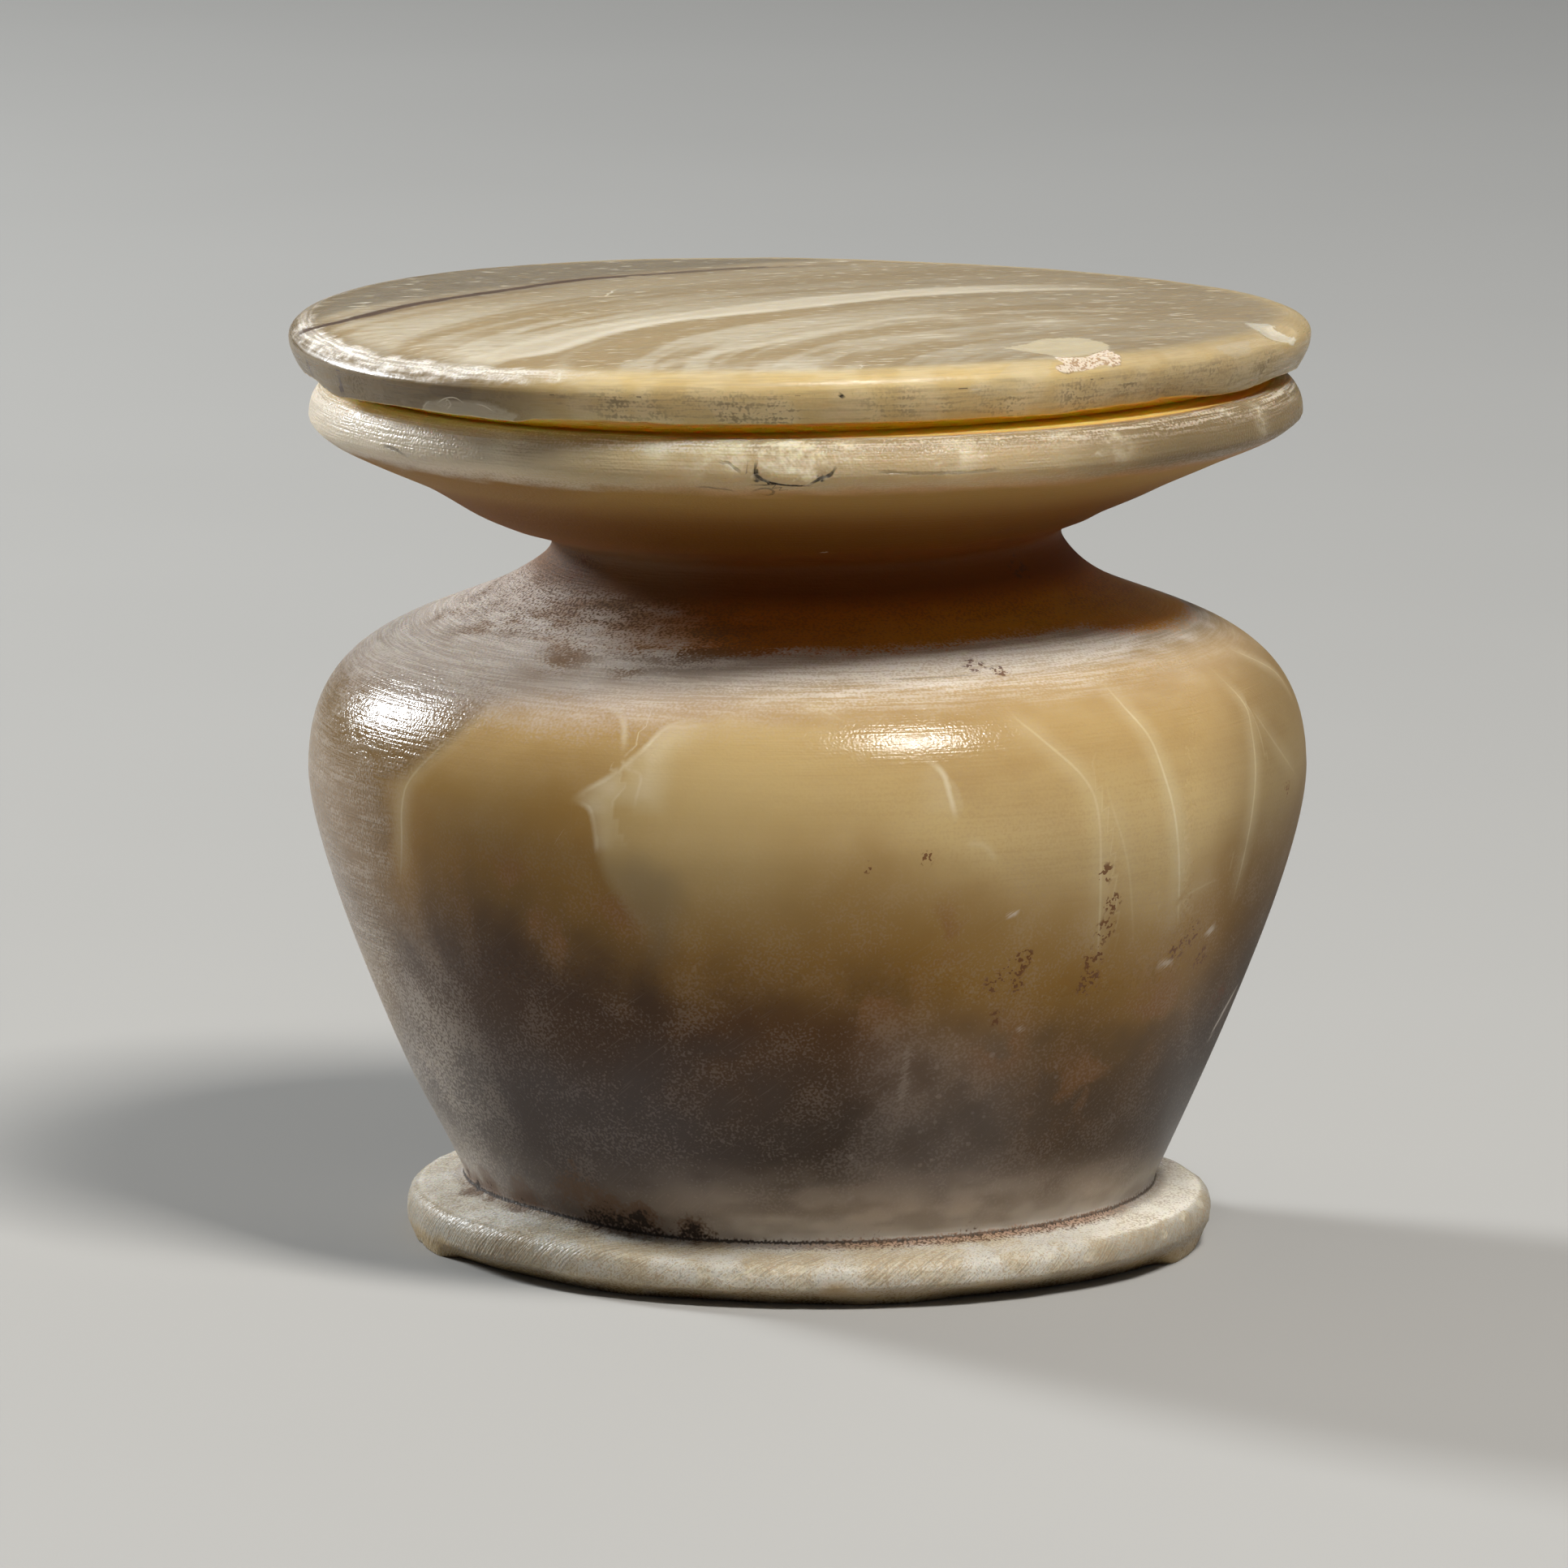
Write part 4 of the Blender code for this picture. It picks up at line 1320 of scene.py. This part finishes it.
    # Relief
    brushed = most(ramp(z, 26, 30, 0.2, 1.6), limb * 2.6, lip * 4.5)
    height = (streaks + grit * 0.5) * (brushed * 0.016)
    height += strokes * blend(foot, 0.002, 0.046)
    height += fine * blend(foot, 0.003, 0.04)
    height += grit * blend(foot, 0.0008, 0.02)
    height += g.painted("grain_of_dirt") * (grit * 0.08)
    height += crack * -0.07
    waxy = most(top, under, shaded)
    return stone_shader(g, stone, roughness, height, blend(waxy, 0.25, 0.85), JAR_LIGHT_DEPTH)


# Features of the lid, by the pixels where they show

LID_LOWER_EDGE = [
    (402, 483), (419, 490), (466, 498), (517, 505), (540, 509), (561, 512), (611, 518), (637, 521),
    (656, 518), (687, 518), (760, 520), (868, 524), (980, 523), (1120, 520), (1192, 517), (1266, 513),
    (1304, 511), (1341, 505), (1379, 500), (1416, 496), (1431, 491), (1453, 489), (1491, 488),
    (1528, 483), (1565, 473), (1586, 465),
]
LID_EDGE_REACH = 0.45
LID_DARK_VEIN = [
    (((366, 412), (377, 407), (433, 393), (516, 374), (640, 355), (723, 344), (806, 338)), 1.0),
    (((780, 340), (889, 332), (950, 329)), 0.8),
    (((925, 330), (960, 329), (1000, 328)), 0.5),
    (((975, 328), (1050, 327)), 0.25),
]
LID_WHITE_VEINS = [
    (((600, 448), (625, 442), (680, 432), (753, 409), (827, 395), (900, 387), (990, 378)), 1.0),
    (((960, 381), (1100, 366), (1210, 359), (1320, 356), (1410, 358)), 0.6),
    (((770, 463), (827, 448), (900, 431), (968, 418), (1056, 401), (1115, 392), (1203, 387)), 0.5),
    (((1180, 388), (1283, 383), (1400, 384)), 0.4),
]
LID_BROWN_LINES = [
    (((640, 455), (720, 432), (800, 411), (880, 399), (935, 391), (1100, 380), (1283, 376)), 0.7),
    (((420, 405), (520, 384), (640, 366), (760, 352), (900, 342)), 0.6),
    (((830, 470), (900, 450), (1000, 432), (1100, 424), (1220, 420)), 0.5),
]
LID_PALE_BAND = [
    (548, 453), (588, 437), (680, 411), (753, 398), (827, 387), (900, 378), (990, 367), (1100, 358),
    (1210, 352), (1320, 350), (1393, 352), (1393, 359), (1320, 358), (1210, 360), (1100, 367), (990, 380),
    (900, 389), (827, 397), (753, 411), (680, 434), (625, 444), (575, 466),
]
LID_CLOUDS = [
    ((1290, 396), 2.4), ((1165, 392), 2.0), ((1145, 414), 2.0), ((960, 455), 3.0),
    ((560, 430), 3.0), ((1000, 470), 1.6),
]
FRONT_FLAKE = [
    (1237, 429), (1265, 424), (1283, 418), (1327, 416), (1360, 422), (1368, 429), (1335, 438),
    (1305, 440), (1276, 433),
]
FLAKE_CRUST = [
    (1298, 440), (1335, 440), (1364, 431), (1379, 438), (1381, 449), (1371, 453), (1357, 448),
    (1338, 455), (1313, 459), (1302, 453), (1312, 448),
]
FLAKE_SCALLOP = [(1250, 446), (1295, 445), (1291, 463), (1268, 480), (1220, 492), (1190, 478), (1225, 466)]
RIGHT_FLAKE = [(1534, 398), (1560, 399), (1584, 407), (1597, 418), (1593, 426), (1577, 417), (1550, 408)]
LID_SIDE_PATCH = [(1498, 427), (1538, 420), (1541, 434), (1523, 442)]
GREY_STAIN = [(532, 472), (578, 468), (580, 492), (560, 494), (528, 484)]
WHITE_STAIN = [(524, 494), (560, 492), (600, 496), (640, 512), (628, 524), (560, 514), (520, 506)]
LINT = [
    (((538, 497), (548, 491), (560, 490), (572, 497)), 1.0),
    (((585, 498), (596, 500), (608, 507)), 0.8),
    (((519, 508), (524, 498), (530, 494)), 0.6),
    (((550, 505), (556, 498), (552, 494)), 0.6),
]
LID_SMUDGES = [
    ((625, 493), 1.0), ((690, 492), 0.6), ((760, 500), 1.4), ((830, 500), 1.8),
    ((905, 510), 1.6), ((960, 512), 1.6), ((1100, 497), 1.4), ((1175, 500), 0.8),
    ((1230, 497), 1.6), ((1330, 480), 1.6), ((1440, 470), 1.8), ((1500, 462), 2.0),
    ((1560, 452), 1.6), ((670, 467), 0.6), ((1390, 470), 1.0), ((440, 475), 1.6),
]
LID_DARK_SPOTS = [
    (((1033, 485), (1040, 490)), 1.0),
    (((987, 466), (988, 467)), 0.9),
    (((1016, 476), (1018, 476)), 0.7),
    (((704, 467), (706, 468)), 0.8),
    (((1312, 480), (1314, 480)), 0.9),
]
LID_NICKS = [
    (((690, 458), (688, 470)), 1.0),
    (((1060, 449), (1062, 455)), 0.5),
    (((745, 366), (758, 357)), 0.6),
]

# Chips: pixel, reach along the edge, reach across it, depth
LID_CHIPS = [
    ((1310, 429), 6.0, 5.4, 0.14),
    ((1340, 447), 3.2, 1.4, 0.20),
    ((1240, 474), 3.4, 1.2, 0.05),
    ((1576, 409), 4.6, 2.4, 0.30),
    ((690, 465), 0.5, 0.5, 0.06),
]

# The lid's stone lies in layers that curve about a line upright at this place
GRAIN_CENTRE = (23.8, -23.8)
GRAIN_RADIUS = 45.0

# How the lid departs from its turned form: raised and tipped a little, thicker,
# and with its upper edge rounded off, most of all at the left front
LID_LIFT = 0.10
LID_TIP_LEFT = 0.004
LID_TIP_FRONT = 0.0075
LID_EXTRA = 0.22
LID_FALL = 0.14
LID_LEFT_FALL = 0.62
LID_LEFT_BEARING = math.radians(-141.0)
LID_LEFT_SPREAD = math.radians(30.0)
LID_FALL_WIDTH = 4.2
CONTACT_GAP = 0.04


def hand_cut(grid):
    """Take the lid out of round and shape its edge. The boss stays round."""
    x, y, z = grid[..., 0], grid[..., 1], grid[..., 2]
    radius = np.hypot(x, y)
    beyond = radius > BOSS_RADIUS + 0.01
    top = fade(z, 0.8, LID_THICKNESS)
    away = np.angle(np.exp(1j * (np.arctan2(y, x) - LID_LEFT_BEARING)))
    fall = LID_FALL + LID_LEFT_FALL * np.exp(-((away / LID_LEFT_SPREAD) ** 2))
    inward = np.clip((radius - LID_RADIUS + LID_FALL_WIDTH) / LID_FALL_WIDTH, 0.0, 1.0)
    lift = LID_LIFT - LID_TIP_LEFT * x - LID_TIP_FRONT * y
    contact = (z < 0.02) * beyond * fade(radius, LID_RADIUS - 1.4, LID_RADIUS - 2.3)
    height = z + lift + top * (LID_EXTRA - fall * inward**2)
    height = height - contact * (RESTING_GAP + lift - CONTACT_GAP)
    share = np.where(beyond | (z > 0.1), 1.0 - LID_TAPER * x / LID_RADIUS, 1.0)
    return np.stack([x, y * share, height], axis=-1)


def make_lid():
    angles = bearings(LID_COLUMNS, LID_FRONT_SHARE, LID_PEAKS)
    lid = Turned("hand_cut_lid", lid_outline(), angles)
    paint_turn(lid, "turn", LID_RADIUS, angles)
    place = np.array([-LID_SHIFT_LEFT, LID_SHIFT_BACK, RIM_TOP_HEIGHT + RESTING_GAP])
    lid.grid = leaned(hand_cut(lid.grid) + place)
    lid.poles[0, 2] += LID_LIFT + LID_EXTRA
    lid.poles = leaned(lid.poles + place)
    edge_row = lid.rows("side").stop - 1
    follow_edge(lid, edge_row, LID_LOWER_EDGE, above=9, below=5, lift=True, reach=LID_EDGE_REACH)

    east = lid.grid[..., 0] - GRAIN_CENTRE[0]
    north = lid.grid[..., 1] - GRAIN_CENTRE[1]
    swing = np.arctan2(north, -east) * GRAIN_RADIUS
    lid.paint("grain", np.stack([np.hypot(east, north), swing, lid.grid[..., 2]], axis=-1))

    # Uneven hand work on the edge, its lower part and the top
    along = lid.along
    start = lid.start_of
    edge = zone(along, start("top"), start("edge"), start("bevel"), start("underside"))
    lid.raise_by(edge * LID_EDGE_RELIEF * lid.lumps(5.0, octaves=2, seed=4.0))
    low = zone(along, start("side"), start("bevel"), start("underside"), start("underside") + 1.0)
    lid.raise_by(-low * LID_LOW_RELIEF * (0.5 + lid.lumps(1.8, octaves=3, seed=14.0)))
    top = fade(along, start("edge"), start("top"))
    lid.raise_by(-top * LID_TOP_RELIEF * (1.0 + lid.lumps(7.0, octaves=2, seed=30.0)))

    canvas = Canvas(lid)
    flakes(canvas, LID_CHIPS, None, LID_CHIP_ROUGHNESS, seed=40.0)
    low_rows = list(range(lid.rows("bevel").start - 4, lid.rows("bevel").stop))
    lid.paint("broken", dings(canvas, low_rows, sizes=(0.5, 1.4), depth=0.07, seed=17))

    lid.paint("broad", lid.lumps(8.0, octaves=2, seed=51.0))
    lid.paint("middling", lid.lumps(2.0, octaves=3, seed=52.0))
    paint_features(
        canvas,
        lines={
            "dark_vein": (LID_DARK_VEIN, 2.6, SHORT_FADING),
            "brown_line": (LID_BROWN_LINES, 3.6, FADING),
            "vein": (LID_WHITE_VEINS, 1.6, FADING),
            "lint": (LINT, 0.5, FADING),
            "spot": (LID_DARK_SPOTS, 0.5, FADING),
            "nick": (LID_NICKS, 0.5, FADING),
        },
        areas={
            "pale_band": LID_PALE_BAND,
            "front_flake": FRONT_FLAKE,
            "right_flake": RIGHT_FLAKE,
            "crust": FLAKE_CRUST,
            "scallop": FLAKE_SCALLOP,
            "side_patch": LID_SIDE_PATCH,
            "grey_stain": GREY_STAIN,
            "white_stain": WHITE_STAIN,
        },
        spots={"clouds": LID_CLOUDS, "smudges": LID_SMUDGES},
    )

    piece = lid.build(lid_material(lid))
    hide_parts("lid")
    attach(piece, "root")


# Colours of the lid's stone, its flakes and what lies on it, with a painted glow and a partly painted
# highlight among them

LID_CREAM = screen(176, 165, 142)
LID_GOLD = screen(148, 129, 96)
LID_BROWN = screen(142, 122, 90)
LID_FAR = screen(128, 114, 91)
LID_DUSK = screen(108, 99, 84)
LID_WHITE = screen(208, 200, 180)
LID_HONEY = screen(200, 176, 124)
LID_HONEY_PALE = screen(208, 188, 144)
LID_SIDE_GREY = screen(108, 91, 64)
LID_SILVER_AND_HIGHLIGHT = screen(230, 225, 216)
LID_VEIN = screen(82, 66, 54)
FLAKE_STONE = screen(192, 180, 150)
FLAKE_CRUST_COLOUR = screen(214, 200, 182)
CRUST_BROWN = screen(164, 138, 112)
DIRT_GREY = screen(104, 90, 70)


def lid_material(lid):
    g = Graph("grained_stone")
    start = lid.start_of
    turn = g.painted("turn", "Vector")
    grain = g.painted("grain", "Vector")
    along = g.part(turn, 2)
    across = g.part(grain, 0)
    x, y = [g.part(g.place, axis) for axis in (0, 1)]
    broad = g.painted("broad")
    middling = g.painted("middling")
    fine = g.lumps(0.3, detail=1, roughness=0.65, shift=3)
    layers = g.noise(grain, (1.9, 40, 30), detail=2, roughness=0.6)
    fibres = g.noise(g.place, (2.2, 0.8, 0.6), detail=2.5, roughness=0.68, turn=0.3)
    flecks = g.noise(
        g.place, (1.1, 0.42, 0.5), detail=1.5, roughness=0.6, turn=0.22, shift=(100, 200, 0)
    )
    streaks = g.noise(turn, (2.4, 2.4, 0.16), detail=1.5, roughness=0.65)
    grit = g.lumps(0.13, detail=0, roughness=0.5, shift=7)
    gritty = grit - 0.5

    # Layered top: cream at the left, golden in the middle, duller at the right
    stone = Paint(mix(ramp(layers + broad * 0.1, 0.4, 0.6), LID_CREAM, LID_GOLD))
    stone.coat(ramp(x, -4, 18, 0, 0.8), LID_FAR)
    stone.coat(ramp(fibres, 0.44, 0.64, 0, 0.36), LID_BROWN)
    stone.coat(ramp(fibres, 0.42, 0.28, 0, 0.3), LID_WHITE)
    stone.coat(ramp(y, -6, 14, 0, 0.7), LID_FAR)
    behind = ramp(across + fibres * 0.6, 53.4, 54.8, 0, 0.8)
    stone.coat(behind, LID_DUSK)
    stone.coat(ramp(flecks, 0.61, 0.73, 0, 0.6), LID_WHITE)
    stone.coat(ramp(flecks, 0.36, 0.3, 0, 0.45), LID_BROWN)

    # Veins and bands that the photograph shows
    ragged = (fibres - 0.5) * 1.6
    tawny = ramp(g.from_line("brown_line") + ragged, 2.2, 0)
    stone.coat(tawny * (g.painted("brown_line_strength") * 0.32), LID_BROWN)
    band = ramp(g.painted("pale_band") + ragged * 0.6, 0.5, -0.5, 0, 0.5)
    band *= ramp(x, 16.5, 6)
    stone.coat(band, LID_WHITE)
    stone.coat(g.painted("clouds") * ramp(fibres, 0.62, 0.36, 0.1, 0.45), LID_WHITE)
    vein = ramp(g.from_line("vein") + ragged * 0.5, 0.8, 0.05)
    stone.coat(vein * (g.painted("vein_strength") * 0.55), LID_WHITE)

    # Honey side, greyer at the far left, and a silvery worn edge there, whitened partly as a painted
    # highlight
    edge_start = start("edge")
    side = ramp(along, edge_start - 1.2, edge_start + 1.2)
    edge_stone = Paint(mix(ramp(middling, -0.4, 0.4), LID_HONEY, LID_HONEY_PALE))
    edge_stone.coat(ramp(x, -9, -18, 0, 0.95), LID_SIDE_GREY)
    edge_stone.coat(ramp(streaks, 0.44, 0.64, 0, 0.25), LID_GOLD)
    edge_stone.coat(ramp(x, 9, 18, 0, 0.5), LID_GOLD)
    stone.coat(side, edge_stone.colour)
    uneven = along + ((fibres - 0.5) * 1.2 + middling * 0.25)
    arris = window(uneven, edge_start - 0.15, edge_start + 0.45, edge_start + 0.65, edge_start + 1.35)
    arris *= ramp(x, -9, -16) * ramp(y, 2, -4, 0.25, 1)
    rubbed = ramp(streaks * 0.8 + grit * 0.3, 0.42, 0.66, 0.35, 0.95)
    stone.coat(arris * rubbed, LID_SILVER_AND_HIGHLIGHT)
    dark_edge = g.from_line("dark_vein") + ragged * 0.22
    dark = most(ramp(dark_edge, 0.55, 0.24), ramp(dark_edge, 1.8, 0.3, 0, 0.3))
    dark *= g.painted("dark_vein_strength")
    stone.coat(dark, LID_VEIN)
    stone.coat(ramp(g.painted("side_patch"), 0.08, -0.08, 0, 0.45), LID_CREAM)
    stone.coat(ramp(g.painted("scallop"), 0.06, -0.06, 0, 0.3), FLAKE_STONE)

    # Flakes and the rough crust in the front one
    shaky = gritty * 0.3
    front_flake = ramp(g.painted("front_flake") + shaky, 0.05, -0.05)
    stone.coat(front_flake * 0.65, FLAKE_STONE)
    right_flake = ramp(g.painted("right_flake") + shaky, 0.05, -0.05)
    stone.coat(right_flake * 0.85, LID_WHITE)
    crust = ramp(g.painted("crust") + middling * 0.15, 0.05, -0.08)
    crumbs = mix(ramp(fine + gritty, 0.34, 0.56), CRUST_BROWN, FLAKE_CRUST_COLOUR)
    stone.coat(crust * 0.9, crumbs)
    stone.coat(ramp(g.painted("broken"), 0.004, 0.03) * 0.25, LID_CREAM)

    # Stains, smudges, specks and lint on the side
    stone.coat(ramp(g.painted("white_stain"), 0.1, -0.2, 0, 0.4), LID_WHITE)
    stone.coat(ramp(g.painted("grey_stain"), 0.08, -0.12, 0, 0.5), DIRT_GREY)
    lower = ramp(along, edge_start + 1.1, start("side") + 0.3)
    wispy = ramp(streaks * 0.5 + (fine * 0.4 + grit * 0.5), 0.66, 0.82)
    smudge = g.painted("smudges") * lower * (wispy * ramp(middling, -0.5, 0.3, 0.3, 1))
    stone.coat(smudge * 0.62, DIRT_GREY)
    spot = ramp(g.from_line("spot"), 0.13, 0.06) * g.painted("spot_strength")
    stone.coat(spot, EARTH_DARK)
    nick = ramp(g.from_line("nick"), 0.12, 0.03) * g.painted("nick_strength")
    lint = ramp(g.from_line("lint"), 0.05, 0.01) * g.painted("lint_strength")
    stone.coat(most(nick, lint), LID_WHITE)

    # The lower edge and the underside, coloured saturated amber as a painted glow of light coming through
    # the stone
    under = ramp(along, start("bevel") - 0.1, start("bevel") + 0.05)
    inner = ramp(along, start("bevel") + 0.3, start("underside") + 0.6)
    stone.coat(under, mix(inner, OUTER_PAINTED_GLOW, LID_PAINTED_GLOW))
    hidden = ramp(along, start("underside") + 1.5, start("underside") + 4)
    stone.coat(hidden, LID_GOLD)

    # Gloss and relief
    roughness = ramp(fibres, 0.35, 0.65, 0.4, 0.54)
    roughness = blend(side, roughness, ramp(streaks, 0.35, 0.65, 0.26, 0.4))
    roughness = blend(arris, roughness, ramp(streaks, 0.35, 0.65, 0.4, 0.6))
    roughness = blend(most(crust, smudge), roughness, 0.8)
    roughness = blend(right_flake, roughness, 0.18)
    height = fibres * 0.014
    height += side * ((streaks + fine * 0.4) * 0.012)
    height += fine * blend(crust, 0.01, 0.08)
    height += grit * blend(most(arris, crust), 0.0012, 0.03)
    return stone_shader(g, stone, roughness, height, blend(under, 0.22, 1), LID_LIGHT_DEPTH)


# Stage, light and camera, set out in metres

JAR_MIDDLE = Vector((0.0, 0.0, 24.0 * MM))
CLIP_START = 0.01
FLOOR_SIZE = 8.0
FLOOR_LUMPS_MM = 60.0
FLOOR_DARK = screen(158, 157, 154)
FLOOR_LIGHT = screen(162, 161, 158)
FLOOR_ROUGHNESS = 0.75
SKY = (0.92, 0.95, 1.0, 1.0)
SKY_STRENGTH = 0.10

# Lamps: name, way to it from the jar, distance and sides in metres, power, colour
LAMPS = [
    ("high_softbox", (0.30, -0.376, 0.877), 0.70, (0.16, 0.20), 5.9, (1.0, 0.97, 0.93)),
    ("left_softbox", (-0.737, 0.556, 0.384), 0.90, (0.15, 0.22), 10.0, (0.95, 0.98, 1.0)),
    ("back_fill", (0.55, 0.75, 0.75), 1.40, (0.9, 0.9), 1.1, (1.0, 1.0, 1.0)),
]


def make_floor():
    bpy.ops.mesh.primitive_plane_add(size=FLOOR_SIZE)
    floor = bpy.context.object
    floor.name = "pale_floor"
    g = Graph("floor_paint")
    paint = mix(g.lumps(FLOOR_LUMPS_MM, detail=2.0, roughness=0.5, shift=0.0), FLOOR_DARK, FLOOR_LIGHT)
    material = g.finish({"Base Color": paint, "Roughness": FLOOR_ROUGHNESS})
    floor.data.materials.append(material)


def softbox(name, way, distance, size, power, colour):
    """Area light that faces the jar from a direction."""
    light = bpy.data.lights.new(name, "AREA")
    light.shape = "RECTANGLE"
    light.size, light.size_y = size
    light.energy = power
    light.color = colour
    lamp = bpy.data.objects.new(name, light)
    way = Vector(way).normalized()
    lamp.location = JAR_MIDDLE + way * distance
    lamp.rotation_euler = way.to_track_quat("Z", "Y").to_euler()
    lamp.visible_camera = False
    bpy.context.scene.collection.objects.link(lamp)


def make_lights():
    for name, way, distance, size, power, colour in LAMPS:
        softbox(name, way, distance, size, power, colour)
    world = bpy.data.worlds.new("studio")
    world.use_nodes = True
    background = world.node_tree.nodes["Background"]
    background.inputs["Color"].default_value = SKY
    background.inputs["Strength"].default_value = SKY_STRENGTH
    bpy.context.scene.world = world
    bpy.context.scene.view_settings.view_transform = "Standard"


def make_camera():
    data = bpy.data.cameras.new("photograph_view")
    data.sensor_width = SENSOR
    data.lens = LENS
    data.clip_start = CLIP_START
    camera = bpy.data.objects.new("photograph_view", data)
    axes = Matrix((EYE_RIGHT, EYE_UP, -EYE_FORWARD)).transposed()
    camera.matrix_world = Matrix.Translation(Vector(EYE) * MM) @ axes.to_4x4()
    bpy.context.scene.collection.objects.link(camera)
    bpy.context.scene.camera = camera


make_camera()
make_floor()
make_lights()
make_jar()
make_lid()
